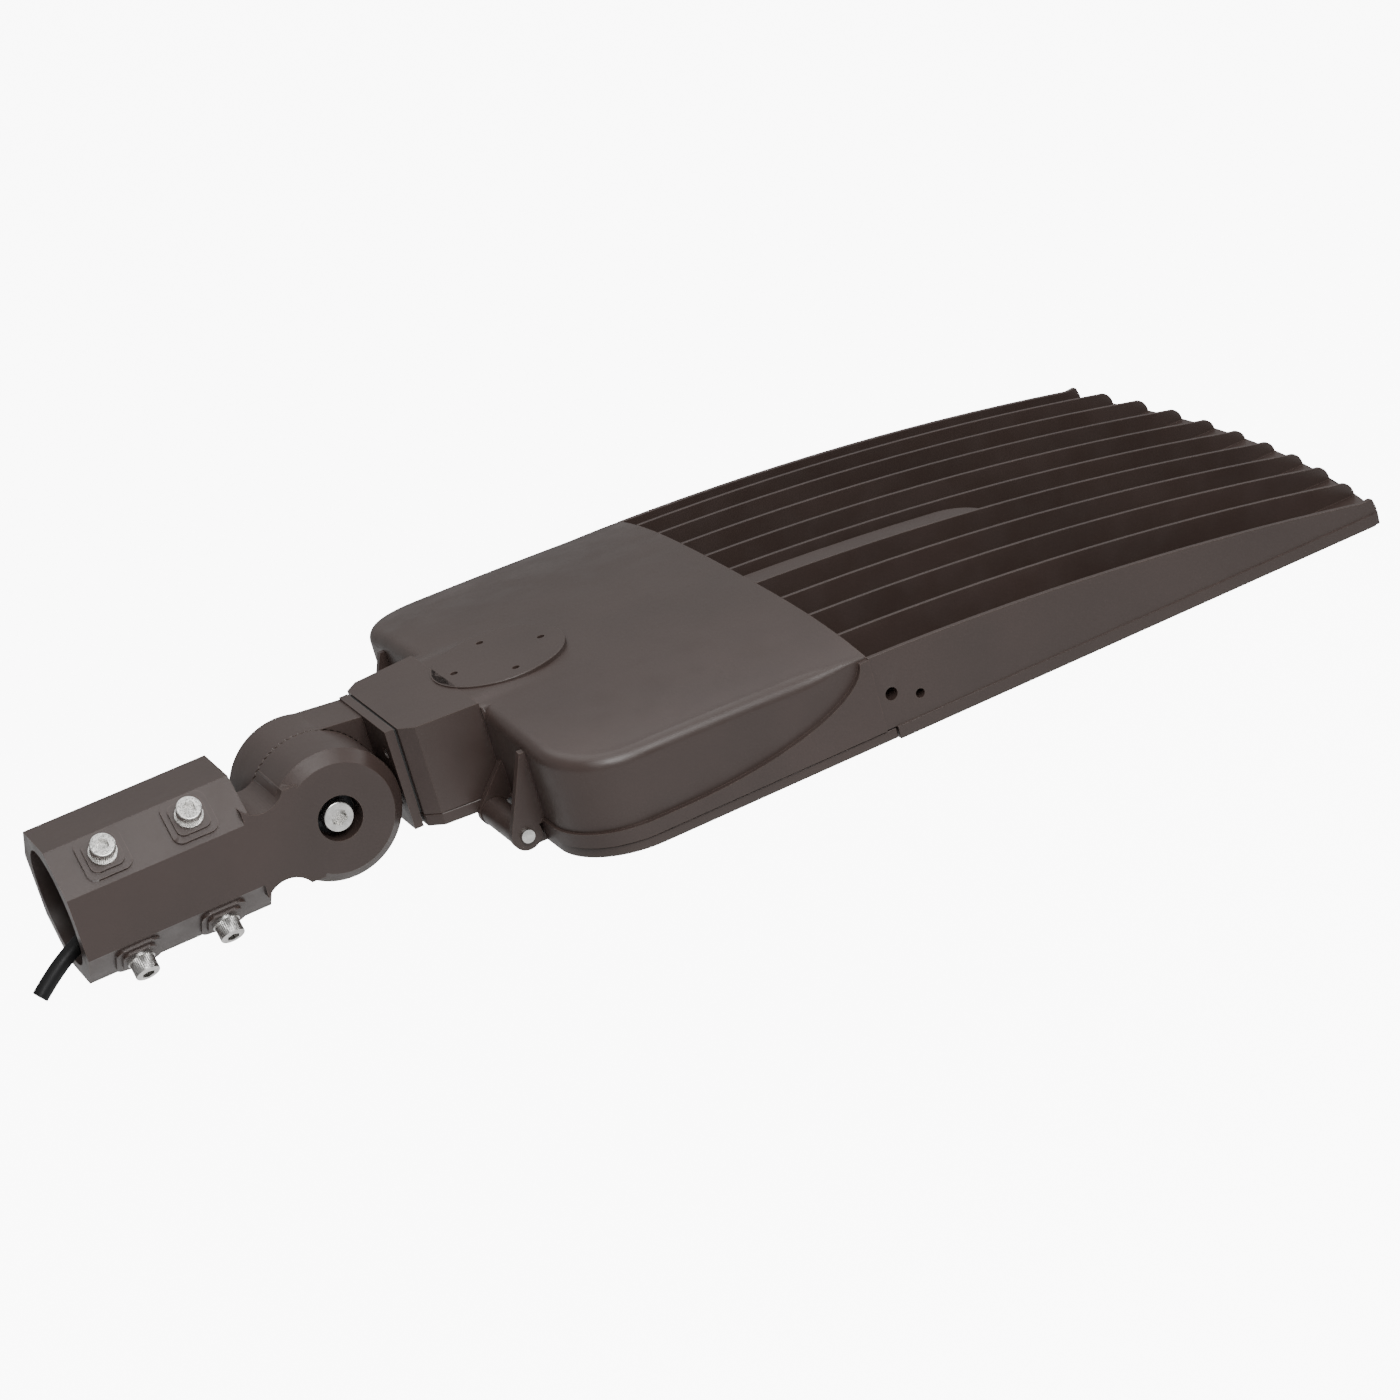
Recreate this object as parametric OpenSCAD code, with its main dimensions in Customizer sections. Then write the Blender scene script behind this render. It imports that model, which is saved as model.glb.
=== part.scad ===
// LED street-lamp head with a toothed tilting knuckle and a clamp socket for a pole tenon.
// +X runs from the socket's mouth to the front edge, +Z is up, and the origin is the centre of the mouth.

/* [Pole socket] */
// Bore for a 60.3 mm pole tenon
bore_d = 62; // [56:0.5:63]
// Depth of the bore
bore_len = 90; // [70:1:92]
// Width of the socket across its side flats
socket_w = 77; // [76:1:90]
// Height of the socket across its top and bottom flats
socket_h = 74; // [72:1:88]
// Size of the chamfer that makes the socket eight-sided
socket_chamfer = 20; // [17:0.5:22]
// Length of the eight-sided body
socket_len = 99; // [95:1:115]
// Distance of the first pair of clamp screws from the mouth
screw_first_x = 26; // [20:1:32]
// Distance between the two pairs of clamp screws
screw_pitch = 46; // [36:1:52]

/* [Knuckle] */
// Distance from the mouth to the tilt axis
knuckle_x = 142; // [140:1:170]
// Radius of the two knuckle discs
knuckle_r = 35; // [32:0.5:35.5]
// Width over both discs
knuckle_w = 77; // [70:1:80]
// Chamfer round the outer face of each disc
knuckle_bevel = 6; // [3:0.5:7]
// Teeth in each ring
tooth_count = 60; // [36:12:72]
// Height of a tooth
tooth_h = 1.4; // [0.8:0.1:1.6]
// Half height of the web between socket and disc
web_h = 19; // [16:0.5:21]

/* [Arm and neck] */
// Thickness of the square arm flange
flange_t = 4.8; // [4:0.1:5.5]
// Width of the arm flange
flange_w = 68; // [60:1:72]
// Thickness of the gasket between flange and neck
arm_gasket_t = 1.2; // [0.8:0.1:2]
// Width of the neck at its end
neck_w = 88; // [84:1:94]
// Height of the neck's top above the socket axis
neck_top = 31.6; // [30:0.1:34]
// Depth of the neck's underside below the socket axis
neck_low = 24; // [24:0.5:26]

/* [Housing] */
// Width of the lamp over its side walls
head_w = 309; // [290:1:340]
// Distance from the mouth to the rear face of the driver box
box_x = 225; // [222:1:230]
// Length of the driver box
box_len = 166; // [150:1:190]
// Length of the finned heat sink at the centre line
sink_len = 315; // [280:1:360]
// Height of the driver box's roof above the socket axis
roof_z = 30; // [29:0.1:31]
// Fall of the roof from the centre line to the sides
crown = 10; // [6:0.5:11]
// Radius of the box's rear corners in plan
corner_r = 40; // [30:1:44]
// Wall thickness of the casting
wall = 4; // [3:0.5:5]
// Number of fins between the side walls
fin_count = 9; // [7:2:11]
// Thickness of a fin
fin_t = 2.4; // [1.8:0.1:3]
// Height of the heat sink's floor below the socket axis
floor_z = -23.5; // [-24:0.1:-22]
// Lowest edge of the side walls
rim_z = -31; // [-32:0.1:-30]
// Circle of the four holes in the photocell pad
pad_pcd = 50; // [40:1:56]
// Diameter of the photocell pad
pad_d = 72; // [66:1:76]

/* [Door] */
// Thickness of the driver door's plate
door_t = 2.6; // [2:0.1:3]
// Length of the door's hinge barrels
barrel_len = 38; // [30:1:40]
// Outer radius of the hinge barrels
barrel_r = 7.5; // [6.5:0.5:8]

/* [Light engine] */
// Lens modules along each row
lens_rows = 2; // [1:1:2]
// Length of a lens plate
lens_x = 134; // [110:1:136]
// Width of a lens plate
lens_y = 138; // [120:1:142]
// Thickness of a lens plate's flat
lens_t = 2.2; // [1.8:0.1:2.6]
// Height of the lenses below the flat
dome_h = 4; // [3:0.5:5]

/* [Cord] */
// Diameter of the supply cord
cord_d = 8.5; // [7:0.5:9]

/* [Hidden] */
$fn = 48;
e = 0.05;
run = 0.3;
seat = 0.2;
half_w = head_w / 2;
bore_r = bore_d / 2;
face_y = knuckle_w / 2;
// clamp screws
screw_r = 4;
screw_head_r = 6.5;
screw_head_h = 8;
screw_washer_r = 7.2;
screw_washer_t = 1.6;
diag_flat = (socket_w / 2 + socket_h / 2 - socket_chamfer) / sqrt(2);
pad_low = 1.6;
pad_high = 3;
screw_seat = diag_flat + pad_high;
screw_tip = bore_r + 0.2;
SCREWS = [[0, 45], [1, 45], [0, 135], [1, 135]];
// knuckle bolt
bolt_r = 5;
bolt_head_r = 8;
bolt_head_h = 10;
bolt_pocket_r = 12;
bolt_pocket_h = 14;
nut_r = 9.8;
tooth_inner = 25;
tooth_outer = knuckle_r + 0.5;
cavity_r = 23;
boss_r = 11;
// arm, gasket and neck
flange_x = knuckle_x + knuckle_r + 1;
gasket_x = flange_x + flange_t;
neck_x = gasket_x + arm_gasket_t;
flange_low = -neck_low;
flange_h = neck_top - 0.4 - flange_low;
arm_bolt_r = 3;
arm_bolt_y = 25;
arm_bolt_z = [-9, 17];
neck_wall = 8;
neck_chamfer = 7;
wire_r = 8;
wire_y = 10;
gland_y = -9;
gland_z = -4;
gland_len = 14;
neck_cover_t = 3;
cover_screw_r = 2;
// housing
box_end = box_x + box_len;
front_x = box_end + sink_len;
side_front = 18.5;
front_r = (pow(half_w, 2) + pow(side_front, 2)) / (2 * side_front);
box_r = pow(box_len, 2) / 8;
fin_arc_fall = 28.35;
fin_line_fall = [15.75, 6.3];
fin_r = pow(sink_len, 2) / (2 * fin_arc_fall);
fin_pitch = head_w / (fin_count + 1);
rim_t = 3.4;
box_low = -24;
ledge_z = -16.5;
inset = 3;
rear_wall = 5;
floor_t = 3;
bay_x0 = box_x + rear_wall;
bay_x1 = box_end - 5;
bay_y = half_w - 9;
bay_top = [6, 13, 17, 20];
bay_step = [bay_y, half_w - 24, half_w - 60, half_w - 100];
tunnel_y = 34;
tunnel_top = 24;
duct_len = 138;
duct_y0 = -fin_pitch + fin_t / 2;
duct_w = 20;
duct_drop = 2.6;
// door and hinge
door_low = -30.2;
door_front = box_end + 5.6;
door_gap = 0.6;
gasket_w = 4;
hinge_x = 214;
hinge_z = -21.5;
pin_r = 2;
pin_head_r = 3.5;
ear_t = 4;
ear_y = 58;
ear_r = 8;
latch_x = box_end - 10.5;
latch_y = half_w - 26;
latch_r = 2.5;
latch_head_r = 4.5;
latch_head_h = 2.6;
latch_boss_r = 7;
latch_up = 14;
// light engine
board_t = 1.6;
gasket_l = 1;
board_z = floor_z - floor_t;
lens_z = board_z - board_t - gasket_l;
lens_gap = 4;
lens_x0 = box_end + 14;
lens_screw_r = 1.5;
chip = 5;
chip_t = 0.7;
chip_nx = 7;
chip_ny = 7;
optics_edge = [22, 19];
chip_px = (lens_x - optics_edge[0]) / chip_nx;
chip_py = (lens_y - optics_edge[1]) / chip_ny;
// driver, surge protector and terminal block
service_len = 76;
lead_room = 14;
driver_x = bay_x0 + service_len;
driver_size = [bay_x1 - driver_x - lead_room, 210, 36];
driver_ear = 14;
driver_ear_y = driver_size[1] / 2 + driver_ear / 2;
surge_size = [44, 30, 24];
term_size = [22, 60, 16];
driver_top = 13;
pads_z = 15;
term_x = bay_x0 + 12;
term_y = -6;
surge_x = bay_x0 + 14;
surge_y = -80;
// route of the supply cord, from the gland to its cut end
CORD_ROUTE = [[76, -9, -4], [70, -9, -4], [62, -9, -4], [53, -9, -4.8], [42, -10, -6.5],
    [30, -10.5, -9], [20, -11.5, -11.5], [10, -12.5, -14], [0, -14, -17.5], [-9, -16, -21.5],
    [-17.5, -18, -26.5], [-25.5, -20, -32]];
DARK = [0.22, 0.19, 0.185];
STEEL = [0.8, 0.8, 0.8];
BLACK = [0.06, 0.06, 0.06];

// Height of the roof over the driver box: an arc along X
function roof(x) = roof_z - pow(max(0, x - box_x), 2) / (2 * box_r);
// Fall of the surface at a distance y from the centre line
function fall(y) = crown * (0.32 * pow(y / half_w, 2) + 0.68 * pow(y / half_w, 4));
// Top of the fin that stands at y, from the box forward
function fin_slope(y) = (fin_line_fall[0] - fin_line_fall[1] * pow(y / half_w, 2)) / sink_len;
function fin_top(x, y) = roof(box_end) - fall(y) - fin_slope(y) * (x - box_end)
    - pow(x - box_end, 2) / (2 * fin_r);
// Front edge in plan
function front(y) = front_x - (front_r - sqrt(pow(front_r, 2) - pow(y, 2)));

// Extrudes an outline drawn in X and Z along Y, from y0 to y1
module along_y(y0, y1) {
    translate([0, y1, 0]) rotate([90, 0, 0]) linear_extrude(y1 - y0) children();
}

// Extrudes an outline drawn in Y and Z along X, from x0 to x1
module along_x(x0, x1) {
    translate([x0, 0, 0]) rotate([90, 0, 90]) linear_extrude(x1 - x0) children();
}

module block(x0, x1, y0, y1, z0, z1) {
    translate([x0, y0, z0]) cube([x1 - x0, y1 - y0, z1 - z0]);
}

// A round bar along Y, from y0 to y1
module bar_y(r, y0, y1) {
    translate([0, y0, 0]) rotate([-90, 0, 0]) cylinder(r = r, h = y1 - y0);
}

module mirrored() {
    children();
    mirror([0, 1, 0]) children();
}

function unit(v) = v / norm(v);

// A smooth run through the points of a route, with n steps from each point to the next
function spline(p, n) = [for (i = [0:len(p) - 2]) for (k = [0:n - 1])
    let (t = k / n, a = p[max(0, i - 1)], b = p[i], c = p[i + 1], d = p[min(len(p) - 1, i + 2)])
    0.5 * (2 * b + (c - a) * t + (2 * a - 5 * b + 4 * c - d) * t * t + (3 * b - a - 3 * c + d) * t * t * t),
    p[len(p) - 1]];

// A round tube swept along a list of points
module tube(p, d, sides) {
    n = len(p);
    function dir(i) = unit(p[min(n - 1, i + 1)] - p[max(0, i - 1)]);
    function side(i) = unit(cross(dir(i), [0.13, 0.21, 0.97]));
    pts = [for (i = [0:n - 1]) for (k = [0:sides - 1]) let (a = 360 * k / sides)
        p[i] + d / 2 * (cos(a) * side(i) + sin(a) * cross(dir(i), side(i)))];
    skin = [for (i = [0:n - 2]) for (k = [0:sides - 1]) let (m = (k + 1) % sides)
        [i * sides + k, i * sides + m, (i + 1) * sides + m, (i + 1) * sides + k]];
    polyhedron(pts, concat(skin, [[for (k = [0:sides - 1]) sides - 1 - k],
        [for (k = [0:sides - 1]) (n - 1) * sides + k]]));
}

module hex_socket(r, depth) {
    translate([0, 0, -e]) cylinder(r = r, h = depth + e, $fn = 6);
}

// ---- pole socket ----

module octagon(w, h, c) {
    polygon([[-w / 2 + c, -h / 2], [w / 2 - c, -h / 2], [w / 2, -h / 2 + c], [w / 2, h / 2 - c],
        [w / 2 - c, h / 2], [-w / 2 + c, h / 2], [-w / 2, h / 2 - c], [-w / 2, -h / 2 + c]]);
}

module rounded_square(s, r) {
    square([s, s - 2 * r], center = true);
    square([s - 2 * r, s], center = true);
    for (x = [-1, 1], y = [-1, 1]) translate([x * (s / 2 - r), y * (s / 2 - r)]) circle(r, $fn = 48);
}

// Puts its children on the near side at clamp screw k, with +Z pointing out of the socket
module at_screw(k) {
    translate([screw_first_x + SCREWS[k][0] * screw_pitch, 0, 0]) rotate([SCREWS[k][1], 0, 0]) children();
}

// Half of one knuckle: a disc with a chamfered outer face, from y = 0 out to the face
module half_disc() {
    rotate([90, 0, 0]) {
        cylinder(r = knuckle_r, h = face_y - knuckle_bevel);
        translate([0, 0, face_y - knuckle_bevel - e])
            cylinder(r1 = knuckle_r, r2 = knuckle_r - knuckle_bevel, h = knuckle_bevel + e);
    }
}

// Radial grooves that leave the teeth standing on the disc's inner face
module tooth_grooves(phase) {
    g = 180 * knuckle_r / tooth_count / 57.2958;
    for (i = [0:tooth_count - 1]) rotate([0, (i + phase) * 360 / tooth_count, 0])
        translate([tooth_inner, 0, 0]) rotate([90, 0, 90])
            linear_extrude(tooth_outer - tooth_inner) polygon([[e, -g * 0.8], [e, g * 0.8], [-tooth_h, 0]]);
}

// The web's outline in X and Z: it narrows from the socket's end and flares into the disc
module web_outline() {
    r = 14;
    x1 = knuckle_x - knuckle_r * 0.86;
    difference() {
        translate([socket_len - 4, -knuckle_r + 9]) square([x1 - socket_len + 18, 2 * knuckle_r - 18]);
        for (s = [-1, 1]) translate([socket_len + 7, s * (web_h + r)]) circle(r, $fn = 96);
    }
}

module tenon_socket() {
    color(DARK) difference() {
        union() {
            along_x(0, socket_len) octagon(socket_w, socket_h, socket_chamfer);
            for (k = [0:3]) at_screw(k) {
                translate([0, 0, diag_flat - 1]) linear_extrude(1 + pad_low) rounded_square(24, 5);
                translate([0, 0, diag_flat - 1]) linear_extrude(1 + pad_high) rounded_square(18, 4);
            }
            translate([knuckle_x, 0, 0]) half_disc();
            along_y(-face_y, -seat) web_outline();
        }
        translate([-e, 0, 0]) rotate([0, 90, 0]) cylinder(r = bore_r, h = bore_len + e);
        for (k = [0:3]) at_screw(k) translate([0, 0, 10]) cylinder(r = screw_r + run, h = 60);
        // the inner face, with its teeth and the hollow that the leads run through
        block(socket_len + 0.01, knuckle_x + knuckle_r, -seat, 1, -knuckle_r - 1, knuckle_r + 1);
        translate([knuckle_x, -seat, 0]) tooth_grooves(0);
        translate([knuckle_x, 0, 0]) difference() {
            rotate([90, 0, 0]) cylinder(r = cavity_r, h = 20);
            rotate([90, 0, 0]) cylinder(r = boss_r, h = 20);
        }
        block(bore_len - 1, knuckle_x - 16, gland_y - 6, gland_y + 6, gland_z - 6, gland_z + 6);
        // bolt hole and head pocket
        translate([knuckle_x, 0, 0]) bar_y(bolt_r + run, -face_y, 1);
        translate([knuckle_x, 0, 0]) bar_y(bolt_pocket_r, -face_y - 1, -face_y + bolt_pocket_h);
    }
}

module knuckle_bolt() {
    head_y = -face_y + bolt_pocket_h - 2;
    color(STEEL) translate([knuckle_x, 0, 0]) difference() {
        union() {
            bar_y(bolt_head_r, head_y - bolt_head_h, head_y);
            bar_y(bolt_r, head_y - e, face_y - 1);
        }
        translate([0, head_y - bolt_head_h, 0]) rotate([-90, 0, 0]) hex_socket(4.6, 5);
    }
}

module knuckle_washer() {
    head_y = -face_y + bolt_pocket_h - 2;
    color(STEEL) translate([knuckle_x, 0, 0]) difference() {
        bar_y(bolt_pocket_r - 1, head_y, head_y + 2);
        bar_y(bolt_r + e, head_y - 1, head_y + 3);
    }
}

module knuckle_nut() {
    color(STEEL) translate([knuckle_x, face_y - 10.4, 0]) rotate([-90, 0, 0]) difference() {
        cylinder(r = nut_r, h = 8, $fn = 6);
        translate([0, 0, -1]) cylinder(r = bolt_r, h = 10);
    }
}

module clamp_screw() {
    z = screw_seat + screw_washer_t;
    color(STEEL) difference() {
        union() {
            translate([0, 0, z]) cylinder(r = screw_head_r, h = screw_head_h);
            translate([0, 0, screw_tip]) cylinder(r = screw_r, h = z - screw_tip + e);
        }
        translate([0, 0, z + screw_head_h - 4]) cylinder(r = 3.7, h = 5, $fn = 6);
    }
}

module set_screw_1() at_screw(0) clamp_screw();

module set_screw_2() at_screw(1) clamp_screw();

module set_screw_3() at_screw(2) clamp_screw();

module set_screw_4() at_screw(3) clamp_screw();

module set_screw_washers() {
    color(STEEL) for (k = [0:3]) at_screw(k) translate([0, 0, screw_seat]) difference() {
        cylinder(r = screw_washer_r, h = screw_washer_t);
        translate([0, 0, -1]) cylinder(r = screw_r + run, h = 5);
    }
}

module cord_gland() {
    color(BLACK) translate([bore_len - gland_len, gland_y, gland_z]) rotate([0, 90, 0]) {
        cylinder(r1 = cord_d / 2 + 1.5, r2 = 9, h = gland_len - 5);
        translate([0, 0, gland_len - 5 - e]) cylinder(r = 9, h = 5 + e);
    }
}

module supply_cord() {
    color(BLACK) tube(spline(CORD_ROUTE, 2), cord_d, 12);
}

// ---- arm ----

module arm_outline() {
    polygon([[knuckle_x, 1 - knuckle_r], [flange_x - 12, flange_low + 1.5], [flange_x + e, flange_low + 1.5],
        [flange_x + e, neck_top - 1.5], [flange_x - 14, neck_top], [knuckle_x, knuckle_r - 1]]);
}

module at_arm_bolts() {
    for (y = [-arm_bolt_y, arm_bolt_y], z = arm_bolt_z) translate([0, y, z]) rotate([0, 90, 0]) children();
}

module arm_adapter() {
    color(DARK) difference() {
        union() {
            translate([knuckle_x, 0, 0]) mirror([0, 1, 0]) half_disc();
            along_y(seat, flange_w / 2) arm_outline();
            block(flange_x, gasket_x, -flange_w / 2, flange_w / 2, flange_low, flange_low + flange_h);
        }
        block(knuckle_x - knuckle_r - 1, flange_x, -1, seat, -knuckle_r - 1, knuckle_r + 1);
        translate([knuckle_x, seat, 0]) mirror([0, 1, 0]) tooth_grooves(0.5);
        translate([knuckle_x, 0, 0]) difference() {
            bar_y(cavity_r, -1, 20);
            bar_y(boss_r, -1, 20);
        }
        block(knuckle_x + 16, gasket_x + 1, wire_y - 6, wire_y + 6, -6, 6);
        translate([knuckle_x, 0, 0]) bar_y(bolt_r + run, -1, face_y + 1);
        translate([knuckle_x, 0, 0]) bar_y(bolt_pocket_r, face_y - 10.5, face_y + 1);
        at_arm_bolts() translate([0, 0, flange_x - 1]) cylinder(r = arm_bolt_r, h = flange_t + 2);
    }
}

module arm_gasket() {
    color(BLACK) difference() {
        block(gasket_x, neck_x, 1 - flange_w / 2, flange_w / 2 - 1, -16.5, flange_low + flange_h - 1);
        at_arm_bolts() translate([0, 0, gasket_x - 1]) cylinder(r = arm_bolt_r + run, h = 4);
        translate([gasket_x - 1, wire_y, 0]) rotate([0, 90, 0]) cylinder(r = wire_r, h = 4);
    }
}

module arm_bolts() {
    x = neck_x + neck_wall + 1.2;
    color(STEEL) at_arm_bolts() difference() {
        union() {
            translate([0, 0, flange_x + 0.5]) cylinder(r = arm_bolt_r, h = x - flange_x);
            translate([0, 0, x]) cylinder(r = 5, h = 6);
        }
        translate([0, 0, x + 3]) cylinder(r = 2.9, h = 4, $fn = 6);
    }
}

module arm_bolt_washers() {
    color(STEEL) at_arm_bolts() translate([0, 0, neck_x + neck_wall]) difference() {
        cylinder(r = 6, h = 1.2);
        translate([0, 0, -1]) cylinder(r = arm_bolt_r + e, h = 4);
    }
}

// ---- housing ----

// Plan outline of the driver box: straight sides, two rounded rear corners and a square front
module plan(hw, x0, x1, r) {
    translate([x0 + r, -hw]) square([x1 - x0 - r, 2 * hw]);
    translate([x0, r - hw]) square([r + 1, 2 * (hw - r)]);
    for (s = [-1, 1]) translate([x0 + r, s * (hw - r)]) circle(r, $fn = 96);
}

module neck_plan(x1) {
    w = neck_w / 2;
    polygon([[neck_x, neck_chamfer - w], [neck_x + neck_chamfer, -w], [x1, -w - 4],
        [x1, w + 4], [neck_x + neck_chamfer, w], [neck_x, w - neck_chamfer]]);
}

// A block whose top is the crowned and arched roof
module under_roof() {
    steps = [for (k = [-12:12]) k / 12 * (half_w + 2)];
    translate([box_x, 0, roof_z - box_r]) rotate([90, 0, 0]) rotate([0, 0, 86.5])
        rotate_extrude(angle = 3.8, $fn = 720)
            polygon(concat([for (y = steps) [box_r - fall(y), y]],
                [[box_r - 60, half_w + 2], [box_r - 60, -half_w - 2]]));
}

module arc_band() {
    x0 = box_x + 55;
    a = box_end - 5 - x0;
    top = fin_top(box_end, half_w);
    polygon(concat([for (t = [0:6:90]) [x0 + a * sin(t), top - (top - ledge_z) * cos(t)]],
        [[box_end, top], [box_end, box_low], [x0, box_low]]));
}

module fin_profile(y, base) {
    xf = front(y) - 1;
    nose = 7;
    xs = [for (k = [0:14]) box_end - 2 + (xf - nose - box_end + 2) * k / 14];
    h = fin_top(xf - nose, y) - floor_z;
    polygon(concat([[box_end - 2, base]], [for (x = xs) [x, fin_top(x, y)]],
        [for (t = [15:15:90]) [xf - nose + nose * sin(t), floor_z + h * cos(t)]], [[xf, base]]));
}

module wall_profile() {
    xf = front(half_w);
    xs = [for (k = [0:14]) box_end - 1 + (xf - 8 - box_end + 1) * k / 14];
    polygon(concat([for (x = xs) [x, fin_top(x, half_w)]],
        [[xf - 3, fin_top(xf, half_w) + 2], [xf - 1.5, fin_top(xf, half_w) + 1.5], [xf, rim_z + 9],
        [xf - 3, rim_z], [door_front + 0.6, rim_z], [door_front + 0.6, box_low], [box_end - 1, box_low]]));
}

module floor_plan() {
    intersection() {
        translate([box_end - 2, -half_w + 1]) square([sink_len + 10, head_w - 2]);
        translate([front_x - front_r, 0]) circle(front_r, $fn = 720);
    }
}

module at_door_screws() {
    for (s = [-1, 1]) translate([latch_x, s * latch_y, 0]) children();
}

// Outline of a hinge ear and its gusset, in X and Z
module ear_outline(top) {
    polygon([[box_x + 2, top], [box_x - 1, top], [hinge_x - ear_r * 0.9, hinge_z + ear_r * 0.45],
        [hinge_x, hinge_z], [box_x + 2, ledge_z]]);
    translate([hinge_x, hinge_z]) circle(ear_r);
}

module hinge_ears() {
    outer = ear_y + barrel_len + run;
    mirrored() {
        along_y(outer, outer + ear_t) ear_outline(roof_z - 5);
        along_y(ear_y - run - ear_t, ear_y - run) ear_outline(2);
    }
}

module sink_body() {
    difference() {
        translate([0, 0, floor_z - floor_t]) linear_extrude(floor_t) floor_plan();
        block(box_end - 3, door_front + 0.6, -half_w, half_w, floor_z - floor_t - 1, box_low);
    }
    for (i = [1:fin_count]) let (y = -half_w + i * fin_pitch)
        along_y(y - fin_t / 2, y + fin_t / 2) fin_profile(y, floor_z - 0.3);
    mirrored() {
        along_y(half_w - wall, half_w - 0.8) wall_profile();
        intersection() {
            along_y(half_w - wall, half_w) wall_profile();
            block(door_front + 0.6, front_x, 0, half_w + 1, rim_z, box_low);
        }
        // inner boss of the two tapped side holes
        block(box_end - 1, box_end + 30, half_w - 13, half_w - 2, floor_z - 0.3, 1);
    }
    // front rim and rear rim of the lens bay
    translate([0, 0, rim_z]) linear_extrude(floor_z - rim_z) difference() {
        floor_plan();
        translate([box_end - 3, -half_w]) square([door_front + 3.6 - box_end, head_w]);
        intersection() {
            translate([box_end - 3, wall - half_w]) square([sink_len + 10, head_w - 2 * wall]);
            translate([front_x - front_r - rim_t, 0]) circle(front_r, $fn = 720);
        }
    }
    block(door_front + 0.6, door_front + 0.6 + rim_t, 1 - half_w, half_w - 1, rim_z, floor_z);
    // wire duct beside the middle fin
    intersection() {
        along_y(duct_y0 - 1, duct_y0 + duct_w) polygon(concat([[box_end - 1, floor_z - 0.3]],
            [for (k = [0:6]) let (x = box_end - 1 + (duct_len + 1) * k / 6)
                [x, fin_top(x, duct_y0) - duct_drop]],
            [[box_end + duct_len, floor_z - 0.3]]));
        translate([0, 0, floor_z - 2]) linear_extrude(60) {
            translate([box_end - 2, duct_y0 - 2]) square([duct_len + 2 - duct_w, duct_w + 2]);
            translate([box_end + duct_len - duct_w, duct_y0]) circle(duct_w, $fn = 72);
        }
    }
}

module box_body() {
    intersection() {
        translate([0, 0, box_low]) linear_extrude(60) plan(half_w - inset, box_x, box_end, corner_r - inset);
        under_roof();
    }
    translate([0, 0, box_low]) linear_extrude(ledge_z - box_low)
        plan(half_w, box_x - 1.5, box_end, corner_r);
    mirrored() along_y(half_w - inset - 1, half_w) arc_band();
    translate([0, 0, ledge_z - 0.5]) linear_extrude(neck_top - ledge_z + 0.5) neck_plan(box_x + 2);
    // raised shoulder that runs from the neck onto the roof
    intersection() {
        along_x(box_x, box_x + 80)
            polygon([[-50, 0], [-50, 29], [-38, neck_top], [38, neck_top], [50, 29], [50, 0]]);
        along_y(-60, 60) polygon([[box_x, 22], [box_x, neck_top], [box_x + 40, neck_top - 0.4],
            [box_x + 80, roof(box_x + 80) - 0.2], [box_x + 80, 22]]);
    }
    translate([box_x + 31, 0, 22]) cylinder(r = pad_d / 2, h = neck_top + 0.7 - 22, $fn = 96);
    hinge_ears();
}

module bay_cut() {
    n = len(bay_top);
    intersection() {
        along_x(bay_x0, bay_x1) polygon(concat([[-bay_y, box_low - 1]],
            [for (k = [0:n - 1]) [-bay_step[k], bay_top[k]]],
            [for (k = [n - 1:-1:0]) [bay_step[k], bay_top[k]]], [[bay_y, box_low - 1]]));
        translate([0, 0, box_low - 2]) linear_extrude(60) plan(bay_y, bay_x0, bay_x1, corner_r - 9);
    }
    block(neck_x + neck_wall, bay_x0 + 1, -tunnel_y, tunnel_y, box_low - 1, tunnel_top);
}

module driver_bosses() {
    for (s = [-1, 1]) translate([driver_x + driver_size[0] / 2, s * driver_ear_y, driver_top])
        cylinder(r = 6, h = 6);
}

// Way of the LED leads: from the bay through the duct to the boards
module lead_way() {
    block(bay_x1 - 1, box_end + duct_len - 12, duct_y0 + 4, duct_y0 + 14, board_z - 1, floor_z + 10);
}

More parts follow.
